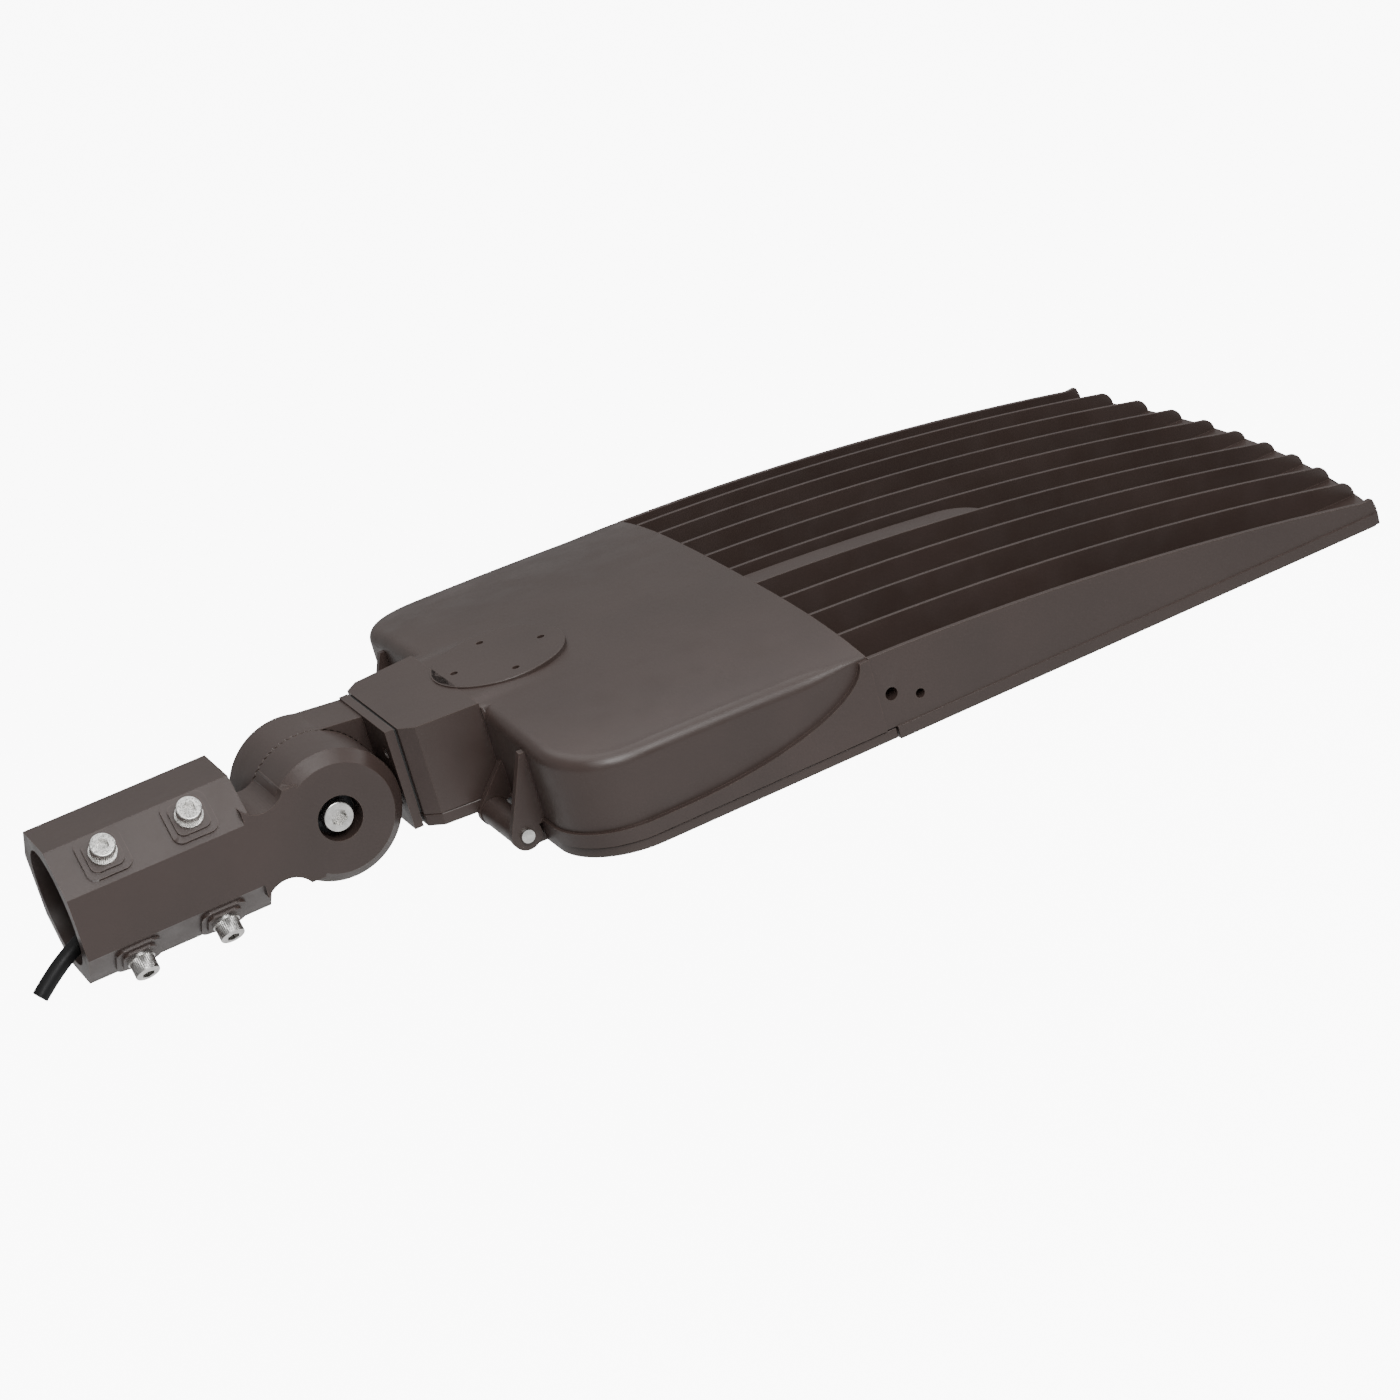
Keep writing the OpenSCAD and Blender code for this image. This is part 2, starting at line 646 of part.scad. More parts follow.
module driver_box() {
    color(DARK) difference() {
        union() {
            difference() {
                box_body();
                bay_cut();
            }
            driver_bosses();
            // mounting pads of the terminal block and the surge protector
            block(term_x, term_x + term_size[0], term_y, term_y + term_size[1], pads_z, pads_z + 6);
            block(surge_x, surge_x + surge_size[0], surge_y, surge_y + surge_size[1], pads_z, pads_z + 6);
            at_door_screws() translate([0, 0, box_low]) cylinder(r = latch_boss_r, h = latch_up + 4);
        }
        // photocell pad holes
        for (a = [0:90:270]) translate([box_x + 31, 0, neck_top - 5]) rotate([0, 0, a])
            translate([pad_pcd / 2, 0, 0]) cylinder(r = 2, h = 10);
        // end wall of the neck
        at_arm_bolts() translate([0, 0, neck_x - 1]) cylinder(r = arm_bolt_r + run, h = neck_wall + 2);
        translate([neck_x - 1, wire_y, 0]) rotate([0, 90, 0]) cylinder(r = wire_r, h = neck_wall + 2);
        // hinge pins, door screws and cover screws
        mirrored() translate([hinge_x, 0, hinge_z]) bar_y(pin_r, ear_y - 8, ear_y + barrel_len + 10);
        at_door_screws() translate([0, 0, box_low - 1]) cylinder(r = latch_r + 0.5, h = latch_up + 1);
        at_cover_screws() translate([0, 0, ledge_z - 2]) cylinder(r = cover_screw_r, h = 12);
        // fixings inside the bay
        for (s = [-1, 1]) translate([driver_x + driver_size[0] / 2, s * driver_ear_y, 0])
            cylinder(r = 2, h = driver_top + 5);
        at_term_screws() translate([0, 0, pads_z - 1]) cylinder(r = 1.5, h = 6);
        at_surge_screws() translate([0, 0, pads_z - 1]) cylinder(r = 1.5, h = 6);
        lead_way();
    }
}

module heat_sink() {
    color(DARK) difference() {
        sink_body();
        block(box_end - 10, box_end, -half_w - 1, half_w + 1, rim_z - 1, roof_z);
        // tapped side holes
        mirrored() {
            translate([box_end + 7.5, 0, -6.5]) bar_y(3.4, half_w - 12, half_w + 1);
            translate([box_end + 22.5, 0, -12.5]) bar_y(2.5, half_w - 12, half_w + 1);
        }
        at_lens_screws() translate([0, 0, board_z - 1]) cylinder(r = lens_screw_r, h = 3);
        lead_way();
    }
}

module at_cover_screws() {
    for (s = [-1, 1]) translate([box_x - 12, s * (neck_w / 2 - 4), 0]) children();
}

module neck_cover() {
    color(DARK) difference() {
        intersection() {
            translate([0, 0, box_low]) linear_extrude(ledge_z - 0.8 - box_low) neck_plan(box_x - 3);
            block(neck_x, box_x - 3, -60, 60, box_low, 0);
        }
        block(neck_x + 4, box_x - 20, -tunnel_y, tunnel_y, box_low + neck_cover_t, 0);
        at_cover_screws() translate([0, 0, box_low - 1]) cylinder(r = cover_screw_r + run, h = 12);
    }
}

module neck_cover_screws() {
    color(STEEL) at_cover_screws() {
        translate([0, 0, box_low - 2]) cylinder(r = 3.6, h = 2);
        translate([0, 0, box_low - e]) cylinder(r = cover_screw_r - e, h = 14);
    }
}

// ---- light engine ----

// Puts its children at the low corner of each lens module
module at_modules() {
    for (i = [0:lens_rows - 1], s = [0, 1])
        translate([lens_x0 + i * (lens_x + lens_gap), lens_gap / 2 - s * (lens_gap + lens_y), 0]) children();
}

module at_lens_screws() {
    at_modules() for (x = [4, lens_x / 2, lens_x - 4], y = [4, lens_y - 4]) translate([x, y, 0]) children();
}

module led_boards() {
    color([0.85, 0.86, 0.84]) difference() {
        at_modules() block(1, lens_x - 1, 1, lens_y - 1, board_z - board_t, board_z);
        at_lens_screws() translate([0, 0, board_z - 5]) cylinder(r = lens_screw_r + 0.2, h = 6);
    }
}

module led_chips() {
    cx = lens_x / 2 - (chip_nx - 1) / 2 * chip_px;
    cy = lens_y / 2 - (chip_ny - 1) / 2 * chip_py;
    color([0.9, 0.85, 0.4]) at_modules() for (i = [0:chip_nx - 1], j = [0:chip_ny - 1])
        translate([cx + i * chip_px, cy + j * chip_py, 0])
            block(-chip / 2, chip / 2, -chip / 2, chip / 2, board_z - board_t - chip_t, board_z - board_t);
}

module lens_gaskets() {
    color(BLACK) difference() {
        at_modules() difference() {
            block(0.5, lens_x - 0.5, 0.5, lens_y - 0.5, lens_z, lens_z + gasket_l);
            block(8, lens_x - 8, 8, lens_y - 8, lens_z - 1, lens_z + gasket_l + 1);
        }
        at_lens_screws() translate([0, 0, lens_z - 1]) cylinder(r = lens_screw_r + 0.2, h = 4);
    }
}

module lens_plates() {
    color([0.88, 0.92, 0.95]) difference() {
        at_modules() {
            block(0, lens_x, 0, lens_y, lens_z - lens_t, lens_z);
            block(9, lens_x - 9, 9, lens_y - 9, lens_z - lens_t - dome_h, lens_z - lens_t + e);
        }
        at_lens_screws() translate([0, 0, lens_z - 5]) cylinder(r = lens_screw_r + 0.2, h = 6);
    }
}

module lens_screws() {
    color(STEEL) at_lens_screws() {
        translate([0, 0, lens_z - lens_t - 1.6]) cylinder(r = 2.8, h = 1.6);
        translate([0, 0, lens_z - lens_t - e])
            cylinder(r = lens_screw_r - e, h = lens_t + gasket_l + board_t + 1.8);
    }
}

// ---- driver bay ----

module led_driver() {
    cx = driver_x + driver_size[0] / 2;
    w = driver_size[1];
    color([0.72, 0.73, 0.74]) difference() {
        union() {
            block(driver_x, driver_x + driver_size[0], -w / 2, w / 2,
                driver_top - driver_size[2], driver_top - e);
            block(cx - 14, cx + 14, -w / 2 - driver_ear, w / 2 + driver_ear, driver_top - 2, driver_top);
        }
        for (s = [-1, 1]) translate([cx, s * driver_ear_y, 0]) cylinder(r = 2.2, h = 20);
    }
}

module driver_screws() {
    color(STEEL) for (s = [-1, 1])
        translate([driver_x + driver_size[0] / 2, s * driver_ear_y, 0]) {
            translate([0, 0, driver_top - 5]) cylinder(r = 3.6, h = 3);
            translate([0, 0, driver_top - 2 - e]) cylinder(r = 2 - e, h = 6);
        }
}

module at_surge_screws() {
    for (y = [5, surge_size[1] - 5]) translate([surge_x + surge_size[0] - 4, surge_y + y, 0]) children();
}

module surge_protector() {
    color([0.75, 0.2, 0.15]) difference() {
        union() {
            block(surge_x, surge_x + surge_size[0] - 8, surge_y, surge_y + surge_size[1],
                pads_z - surge_size[2], pads_z);
            block(surge_x, surge_x + surge_size[0], surge_y, surge_y + surge_size[1], pads_z - 3, pads_z);
        }
        at_surge_screws() translate([0, 0, pads_z - 5]) cylinder(r = 1.7, h = 6);
    }
}

module surge_screws() {
    color(STEEL) at_surge_screws() {
        translate([0, 0, pads_z - 5]) cylinder(r = 3, h = 2);
        translate([0, 0, pads_z - 3 - e]) cylinder(r = 1.5 - e, h = 7);
    }
}

module at_term_screws() {
    for (y = [4, term_size[1] - 4]) translate([term_x + term_size[0] / 2, term_y + y, 0]) children();
}

module terminal_block() {
    color([0.9, 0.9, 0.87]) difference() {
        union() {
            block(term_x, term_x + term_size[0], term_y, term_y + term_size[1], pads_z - 5, pads_z);
            block(term_x, term_x + term_size[0], term_y + 8, term_y + term_size[1] - 8,
                pads_z - term_size[2], pads_z);
        }
        at_term_screws() translate([0, 0, pads_z - 8]) cylinder(r = 1.7, h = 9);
        for (k = [0:2]) translate([term_x - 1, term_y + 16 + 14 * k, pads_z - 10]) rotate([0, 90, 0])
            cylinder(r = 2.4, h = term_size[0] + 2);
    }
}

module terminal_screws() {
    color(STEEL) at_term_screws() {
        translate([0, 0, pads_z - 7]) cylinder(r = 3, h = 2);
        translate([0, 0, pads_z - 5 - e]) cylinder(r = 1.5 - e, h = 9);
    }
}

module wire_grommet() {
    color(BLACK) translate([neck_x, wire_y, 0]) rotate([0, 90, 0]) difference() {
        union() {
            translate([0, 0, 0.5]) cylinder(r = wire_r - e, h = neck_wall);
            translate([0, 0, neck_wall]) cylinder(r = wire_r + 2, h = 2.5);
        }
        translate([0, 0, -1]) cylinder(r = wire_r - 2.5, h = neck_wall + 6);
    }
}

// Three wires from the grommet to the terminal block, and three on to the driver
module mains_leads() {
    color([0.15, 0.15, 0.16]) for (k = [0:2]) {
        y = term_y + 16 + 14 * k;
        z = pads_z - 10;
        y0 = wire_y + (k - 1) * 3.2;
        tube(spline([[neck_x + 2, y0, 0], [neck_x + 7, y0, 0], [neck_x + 12, y0, 0],
            [term_x - 24, wire_y + (k - 1) * 5, -3], [term_x - 10, y - 6 * (k - 1), 0],
            [term_x + 1, y, z]], 3), 2.6, 8);
        x1 = term_x + term_size[0];
        tube(spline([[x1 - 1, y, z], [x1 + 2, y, z], [x1 + 10, y, z - 3], [driver_x - 16, y + 6, -8],
            [driver_x - 4, y + 8, -8], [driver_x, y + 8, -8]], 3), 2.6, 8);
    }
}

// Two wires from the driver's other side into the duct
module led_leads() {
    y0 = duct_y0 + 9;
    x0 = driver_x + driver_size[0];
    color([0.5, 0.1, 0.1]) for (k = [-1, 1])
        tube(spline([[x0 + e, y0 + k * 16, -10], [x0 + 1.5, y0 + k * 16, -10],
            [x0 + 3, y0 + k * 16, -10], [x0 + 7, y0 + k * 14, -13],
            [bay_x1 - 4, y0 + k * 4, -18], [bay_x1 + 8, y0 + k * 2.4, -19],
            [box_end + 24, y0 + k * 2.2, -20.5]], 3), 2.4, 8);
}

// ---- door ----

module driver_door() {
    color(DARK) difference() {
        union() {
            difference() {
                translate([0, 0, door_low]) linear_extrude(box_low - door_gap - door_low)
                    plan(half_w - 1, box_x - 0.5, door_front, corner_r);
                translate([0, 0, door_low + door_t]) linear_extrude(20)
                    plan(half_w - 5, box_x + 3.5, box_end - 0.5, corner_r - 4);
            }
            mirrored() {
                translate([hinge_x, 0, hinge_z]) bar_y(barrel_r, ear_y, ear_y + barrel_len);
                block(hinge_x - 3, box_x + 2, ear_y, ear_y + barrel_len, door_low, box_low - door_gap);
            }
        }
        mirrored() translate([hinge_x, 0, hinge_z]) bar_y(pin_r + e, ear_y - 1, ear_y + barrel_len + 1);
        at_door_screws() translate([0, 0, door_low - 1]) cylinder(r = latch_r + 0.4, h = 10);
    }
}

module door_gasket() {
    color(BLACK) translate([0, 0, door_low + door_t]) linear_extrude(box_low - seat - door_low - door_t)
        difference() {
            plan(half_w - 5.2, box_x + 3.7, box_end - 0.8, corner_r - 4.2);
            plan(half_w - 5.2 - gasket_w, box_x + 3.7 + gasket_w, box_end - 0.8 - gasket_w, corner_r - 8.2);
        }
}

module hinge_pins() {
    outer = ear_y + barrel_len + run + ear_t;
    color(STEEL) mirrored() translate([hinge_x, 0, hinge_z]) {
        bar_y(pin_r - 0.02, ear_y - 6, outer + e);
        bar_y(pin_head_r, outer, outer + 2);
    }
}

module door_screw() {
    color(STEEL) difference() {
        union() {
            translate([0, 0, door_low - latch_head_h]) cylinder(r = latch_head_r, h = latch_head_h - 0.02);
            translate([0, 0, door_low - 0.1]) cylinder(r = latch_r, h = box_low + latch_up - 1 - door_low);
        }
        translate([0, 0, door_low - latch_head_h - 1]) cylinder(r = 2.3, h = 2.4, $fn = 6);
    }
}

module door_screw_left() translate([latch_x, latch_y, 0]) door_screw();

module door_screw_right() translate([latch_x, -latch_y, 0]) door_screw();

// Clips that keep the door screws in the door
module door_screw_clips() {
    color(STEEL) at_door_screws() translate([0, 0, door_low + door_t]) difference() {
        cylinder(r = 4.5, h = 1);
        translate([0, 0, -1]) cylinder(r = latch_r + 0.4, h = 3);
    }
}

tenon_socket();
knuckle_bolt();
knuckle_washer();
knuckle_nut();
set_screw_1();
set_screw_2();
set_screw_3();
set_screw_4();
set_screw_washers();
cord_gland();
supply_cord();
arm_adapter();
arm_gasket();
arm_bolts();
arm_bolt_washers();
driver_box();
heat_sink();
neck_cover();
neck_cover_screws();
led_boards();
led_chips();
lens_gaskets();
lens_plates();
lens_screws();
led_driver();
driver_screws();
surge_protector();
surge_screws();
terminal_block();
terminal_screws();
wire_grommet();
mains_leads();
led_leads();
driver_door();
door_gasket();
hinge_pins();
door_screw_left();
door_screw_right();
door_screw_clips();
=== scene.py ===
import math

import bmesh
import bpy
from bpy.props import FloatProperty, FloatVectorProperty, IntProperty, PointerProperty
from mathutils import Matrix, Vector


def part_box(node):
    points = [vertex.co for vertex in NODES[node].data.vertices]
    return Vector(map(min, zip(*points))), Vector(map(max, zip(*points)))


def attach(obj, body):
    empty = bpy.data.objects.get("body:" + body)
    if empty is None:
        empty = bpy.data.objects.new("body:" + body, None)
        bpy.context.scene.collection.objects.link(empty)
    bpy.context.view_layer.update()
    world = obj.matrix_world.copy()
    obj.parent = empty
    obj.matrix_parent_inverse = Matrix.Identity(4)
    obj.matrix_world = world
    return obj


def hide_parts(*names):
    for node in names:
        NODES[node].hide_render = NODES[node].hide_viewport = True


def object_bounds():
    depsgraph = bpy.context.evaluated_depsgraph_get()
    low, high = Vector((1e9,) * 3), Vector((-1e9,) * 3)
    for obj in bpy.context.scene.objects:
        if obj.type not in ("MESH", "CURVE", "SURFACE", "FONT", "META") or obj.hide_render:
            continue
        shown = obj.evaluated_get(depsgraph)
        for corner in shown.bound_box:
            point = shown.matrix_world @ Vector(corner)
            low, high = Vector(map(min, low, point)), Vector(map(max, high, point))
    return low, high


bl_info = {
    "name": "Street lamp head",
    "version": (1, 0, 0),
    "blender": (4, 5, 0),
    "location": "View3D > Sidebar > Lamp head",
    "description": "Builds the visible pieces of a finned LED street lamp head over its fixed frame",
    "category": "Object",
}

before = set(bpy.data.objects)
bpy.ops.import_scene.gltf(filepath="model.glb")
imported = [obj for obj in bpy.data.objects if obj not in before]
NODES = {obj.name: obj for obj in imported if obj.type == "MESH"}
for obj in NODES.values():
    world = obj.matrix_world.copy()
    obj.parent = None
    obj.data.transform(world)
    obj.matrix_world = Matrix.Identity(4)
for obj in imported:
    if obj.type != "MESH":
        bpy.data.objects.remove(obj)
CAD_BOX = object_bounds()
MM = 0.001

# Route of the supply cord, from the gland to its cut end, in millimetres
CORD_ROUTE = (
    (76, -9, -4), (70, -9, -4), (62, -9, -4), (53, -9, -4.8), (42, -10, -6.5), (30, -10.5, -9),
    (20, -11.5, -11.5), (10, -12.5, -14), (0, -14, -17.5), (-9, -16, -21.5), (-17.5, -18, -26.5),
    (-25.5, -20, -32),
)
CORD_R = 4.25
# The last ring is a little smaller, so that the cut end stays inside the CAD box
CORD_END_SCALE = 0.985

# Camera, with its place in millimetres
CAMERA_LENS = 98.418
CAMERA_PLACE = (-261.51, -1758.57, 743.45)
CAMERA_AHEAD = (0.30526905, 0.87051254, -0.38602944)
CAMERA_UP = (0.38105882, 0.25983926, 0.88728673)

# Strength of the white world, as a light and as seen by the camera
WORLD_LIGHT, WORLD_SEEN = 0.40, 14.0

# Knuckle: its axis, its radius, the half-width of its tooth zone and the bolt head's seat, in millimetres
KNUCKLE_X, KNUCKLE_R, TOOTH_ZONE, BOLT_SEAT = 142, 35, 1.8, 26.5

# Clamp screws: first one's X, their pitch, and their seat's distance from the socket's axis
CLAMP_X, CLAMP_PITCH, CLAMP_SEAT = 26, 46, 43.84

# Photocell pad: its place, radius and height, and its holes' circle and radius
PAD_X, PAD_MID, PAD_R, PAD_H = 256, 30.15, 36, 4.3
PAD_HOLE_CIRCLE, PAD_HOLE_R = 25, 2

# Lens plates: gap between two, thickness, plain rim, and the pad that the lenses stand on
PLATE_GAP, PLATE_H, PLATE_RIM, ZONE_H = 4, 2.2, 18, 0.8
LENS_PITCH_X, LENS_PITCH_Y, LENS_H, LENS_OVAL = 16, 17, 3.2, 0.92


class CastingSettings(bpy.types.PropertyGroup):
    coat_color: FloatVectorProperty(
        name="Coat colour", description="Colour of the dark bronze powder coat", subtype="COLOR",
        size=3, min=0.0, max=1.0, default=(0.0375, 0.0248, 0.0212))
    coat_roughness: FloatProperty(
        name="Coat roughness", description="Roughness of the powder coat", subtype="FACTOR",
        min=0.1, max=0.9, default=0.40)
    edge_radius: FloatProperty(
        name="Edge radius", description="Radius of the castings' small edges", subtype="DISTANCE",
        unit="LENGTH", min=0.0002, max=0.0012, default=0.0007)
    roof_radius: FloatProperty(
        name="Roof radius", description="Radius of the driver box's top edge", subtype="DISTANCE",
        unit="LENGTH", min=0.003, max=0.009, default=0.007)


class HardwareSettings(bpy.types.PropertyGroup):
    steel_color: FloatVectorProperty(
        name="Steel colour", description="Colour of the stainless fasteners", subtype="COLOR",
        size=3, min=0.0, max=1.0, default=(0.62, 0.61, 0.59))
    knurl_count: IntProperty(
        name="Knurls", description="Ribs round each clamp screw's head", min=24, max=60, default=40)


class LensSettings(bpy.types.PropertyGroup):
    dome_count: IntProperty(
        name="Lenses per side", description="Lenses along each side of a module", min=4, max=8, default=7)
    dome_radius: FloatProperty(
        name="Lens radius", description="Radius of one lens in plan", subtype="DISTANCE",
        unit="LENGTH", min=0.004, max=0.0078, default=0.0070)


class StageSettings(bpy.types.PropertyGroup):
    floor_color: FloatVectorProperty(
        name="Floor colour", description="Colour of the pale floor", subtype="COLOR",
        size=3, min=0.0, max=1.0, default=(0.93, 0.93, 0.93))
    floor_drop: FloatProperty(
        name="Floor drop", description="Depth of the floor below the lamp", subtype="DISTANCE",
        unit="LENGTH", min=0.0, max=2.0, default=0.55)
    floor_glow: FloatProperty(
        name="Floor glow", description="How far the floor is lifted towards white in view",
        min=0.0, max=10.0, default=9.0)
    key_power: FloatProperty(
        name="Key light", description="Power of the large overhead light", subtype="POWER",
        unit="POWER", min=0.0, max=500.0, default=60.0)


def mm(*values):
    """A vector in metres from millimetres."""
    return Vector(values) * MM


# ---- materials ----

class Finish:
    """One procedural material and the nodes on the way to its shader."""

    def __init__(self, name, color, roughness, metallic=0.0, specular=0.5):
        self.mat = bpy.data.materials.new(name)
        self.mat.use_nodes = True
        self.tree = self.mat.node_tree
        self.shader = self.tree.nodes["Principled BSDF"]
        self.shader.inputs["Base Color"].default_value = (*color, 1.0)
        self.shader.inputs["Roughness"].default_value = roughness
        self.shader.inputs["Metallic"].default_value = metallic
        self.shader.inputs["Specular IOR Level"].default_value = specular
        self.coords = self.add("ShaderNodeTexCoord")
        self.mat.diffuse_color = (*color, 1.0)

    def add(self, kind, **values):
        node = self.tree.nodes.new(kind)
        for key, value in values.items():
            if key in node.inputs:
                node.inputs[key].default_value = value
            else:
                setattr(node, key, value)
        return node

    def link(self, a, b):
        self.tree.links.new(a, b)

    def noise(self, scale, detail=2.0, rough=0.5, stretch=None):
        node = self.add("ShaderNodeTexNoise", Scale=scale, Detail=detail, Roughness=rough)
        if stretch:
            turn = self.add("ShaderNodeMapping", Scale=stretch)
            self.link(self.coords.outputs["Object"], turn.inputs["Vector"])
            self.link(turn.outputs["Vector"], node.inputs["Vector"])
        else:
            self.link(self.coords.outputs["Object"], node.inputs["Vector"])
        return node.outputs["Fac"]

    def ramp(self, fac, low, high, start=0.35, stop=0.65):
        node = self.add("ShaderNodeMapRange")
        node.inputs["From Min"].default_value = start
        node.inputs["From Max"].default_value = stop
        node.inputs["To Min"].default_value = low
        node.inputs["To Max"].default_value = high
        self.link(fac, node.inputs["Value"])
        return node.outputs["Result"]

    def tint(self, fac, dark, light):
        node = self.add("ShaderNodeMix", data_type="RGBA")
        node.inputs[6].default_value = (*dark, 1.0)
        node.inputs[7].default_value = (*light, 1.0)
        self.link(fac, node.inputs[0])
        return node.outputs[2]

    def over(self, base, fac, color):
        node = self.add("ShaderNodeMix", data_type="RGBA")
        node.inputs[7].default_value = (*color, 1.0)
        self.link(base, node.inputs[6])
        self.link(fac, node.inputs[0])
        return node.outputs[2]

    def math(self, operation, a, b):
        node = self.add("ShaderNodeMath", operation=operation)
        for socket, value in zip(node.inputs, (a, b)):
            if isinstance(value, (int, float)):
                socket.default_value = value
            else:
                self.link(value, socket)
        return node.outputs[0]

    def edges(self, radius):
        """1 on edges and 0 on flats."""
        soft = self.add("ShaderNodeBevel", Radius=radius, samples=6)
        plain = self.add("ShaderNodeNewGeometry")
        dot = self.add("ShaderNodeVectorMath", operation="DOT_PRODUCT")
        self.link(soft.outputs[0], dot.inputs[0])
        self.link(plain.outputs["Normal"], dot.inputs[1])
        return self.ramp(dot.outputs["Value"], 1.0, 0.0, 0.75, 0.985)

    def bump(self, heights):
        last = None
        for height, strength, distance in heights:
            node = self.add("ShaderNodeBump", Strength=strength, Distance=distance)
            self.link(height, node.inputs["Height"])
            if last:
                self.link(last, node.inputs["Normal"])
            last = node.outputs["Normal"]
        self.link(last, self.shader.inputs["Normal"])

    def set(self, socket, source):
        self.link(source, self.shader.inputs[socket])


def shade(color, k):
    return tuple(min(1.0, c * k) for c in color)


def powder_coat(name, color, roughness):
    """Satin powder coat over die-cast aluminium, with fine orange peel and lighter edges that are partly
    rubbed wear and partly a painted highlight.
    """
    f = Finish(name, color, roughness)
    cloud = f.noise(14.0, 3.0)
    speck = f.noise(2600.0, 2.0)
    base = f.tint(f.ramp(cloud, 0, 1), shade(color, 0.92), shade(color, 1.10))
    base = f.over(base, f.ramp(speck, 0.0, 0.35, 0.58, 0.75), shade(color, 1.8))
    # lighter edges: partly rubbed wear, partly a painted highlight where the rounded edges catch the light
    wear_and_edge_highlight = f.math("MULTIPLY", f.edges(0.0006), f.ramp(f.noise(160.0, 3.0), 0.15, 0.75, 0.4, 0.62))
    base = f.over(base, wear_and_edge_highlight, shade(color, 3.2))
    f.set("Base Color", base)
    f.set("Roughness", f.ramp(f.noise(60.0, 4.0), roughness - 0.05, roughness + 0.07))
    f.bump([(f.noise(1300.0, 2.0), 0.22, 0.00006), (f.noise(260.0, 2.0), 0.10, 0.00012)])
    return f.mat


def stainless(name, color, roughness=0.28):
    """Bright steel, or steel darkened to stand in for painted shade, with a cloudy sheen and a fine drawn
    grain.
    """
    f = Finish(name, color, roughness, metallic=1.0)
    cloud = f.noise(220.0, 3.0)
    f.set("Base Color", f.tint(f.ramp(cloud, 0, 1), shade(color, 0.82), shade(color, 1.12)))
    f.set("Roughness", f.ramp(f.noise(900.0, 3.0), roughness - 0.08, roughness + 0.1))
    f.bump([(f.noise(2400.0, 2.0, stretch=(1.0, 1.0, 0.15)), 0.15, 0.00003)])
    return f.mat


def moulded(name, color, roughness, grain=1600.0, depth=0.00004, specular=0.5):
    """Moulded rubber or plastic with a fine grain."""
    f = Finish(name, color, roughness, specular=specular)
    cloud = f.noise(45.0, 3.0)
    dust = f.noise(700.0, 3.0)
    base = f.tint(f.ramp(cloud, 0, 1), shade(color, 0.88), shade(color, 1.14))
    base = f.over(base, f.ramp(dust, 0.0, 0.25, 0.6, 0.78), shade(color, 1.5))
    f.set("Base Color", base)
    f.set("Roughness", f.ramp(f.noise(120.0, 3.0), roughness - 0.06, roughness + 0.06))
    f.bump([(f.noise(grain, 2.0), 0.25, depth)])
    return f.mat


def clear_plastic(name, color):
    """Clear moulded acrylic, a little milky, with faint flow marks."""
    f = Finish(name, color, 0.08)
    f.shader.inputs["Transmission Weight"].default_value = 0.88
    f.shader.inputs["IOR"].default_value = 1.49
    haze = f.noise(90.0, 3.0)
    f.set("Base Color", f.tint(f.ramp(haze, 0, 1), shade(color, 0.94), shade(color, 1.05)))
    f.set("Roughness", f.ramp(f.noise(300.0, 2.0), 0.05, 0.14))
    f.bump([(f.noise(120.0, 2.0), 0.05, 0.00008)])
    return f.mat


def circuit_board(name, color):
    """White solder mask with faint copper runs underneath."""
    f = Finish(name, color, 0.45)
    runs = f.add("ShaderNodeTexBrick")
    runs.inputs["Scale"].default_value = 60.0
    runs.inputs["Mortar Size"].default_value = 0.03
    runs.inputs["Color1"].default_value = (*color, 1.0)
    runs.inputs["Color2"].default_value = (*shade(color, 0.97), 1.0)
    runs.inputs["Mortar"].default_value = (*shade(color, 0.80), 1.0)
    f.link(f.coords.outputs["Object"], runs.inputs["Vector"])
    f.set("Base Color", runs.outputs["Color"])
    f.set("Roughness", f.ramp(f.noise(400.0, 2.0), 0.38, 0.52))
    f.bump([(runs.outputs["Fac"], 0.3, 0.00005)])
    return f.mat


# ---- mesh helpers ----

def repaint(node, material):
    """Gives a CAD node a new finish through its material slots."""
    for slot in NODES[node].material_slots:
        slot.material = material


def make_piece(name, bm, material, body, smooth=30.0):
    """Turns a bmesh into a finished piece that rides on a body."""
    mesh = bpy.data.meshes.new(name)
    bm.to_mesh(mesh)
    bm.free()
    mesh.materials.clear()
    mesh.materials.append(material)
    mesh.shade_smooth()
    mesh.set_sharp_from_angle(angle=math.radians(smooth))
    piece = bpy.data.objects.new(name, mesh)
    bpy.context.scene.collection.objects.link(piece)
    weigh = piece.modifiers.new("even_shading", "WEIGHTED_NORMAL")
    weigh.mode = "FACE_AREA"
    weigh.weight = 50
    weigh.keep_sharp = True
    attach(piece, body)
    return piece


def round_rim(piece, x, radius):
    """Gives the faces on the knuckle's rim the exact normals of a cylinder along Y."""
    graph = bpy.context.evaluated_depsgraph_get()
    mesh = bpy.data.meshes.new_from_object(piece.evaluated_get(graph))
    normals = [Vector(n.vector) for n in mesh.corner_normals]
    spots = [Vector((v.co.x - x, 0.0, v.co.z)) for v in mesh.vertices]
    for face in mesh.polygons:
        if abs(face.normal.y) > 0.2:
            continue
        if all(abs(spots[i].length - radius) < 4e-5 for i in face.vertices):
            for loop in face.loop_indices:
                normals[loop] = spots[mesh.loops[loop].vertex_index].normalized()
    mesh.normals_split_custom_set(normals)
    piece.modifiers.clear()
    piece.data = mesh


def merged_copy(node):
    """A bmesh copy of a CAD node with its triangles merged into larger faces."""
    bm = bmesh.new()
    bm.from_mesh(NODES[node].data)
    bmesh.ops.remove_doubles(bm, verts=bm.verts, dist=2e-6)
    bmesh.ops.dissolve_limit(
        bm, angle_limit=math.radians(0.3), verts=bm.verts, edges=bm.edges, use_dissolve_boundaries=False)
    return bm


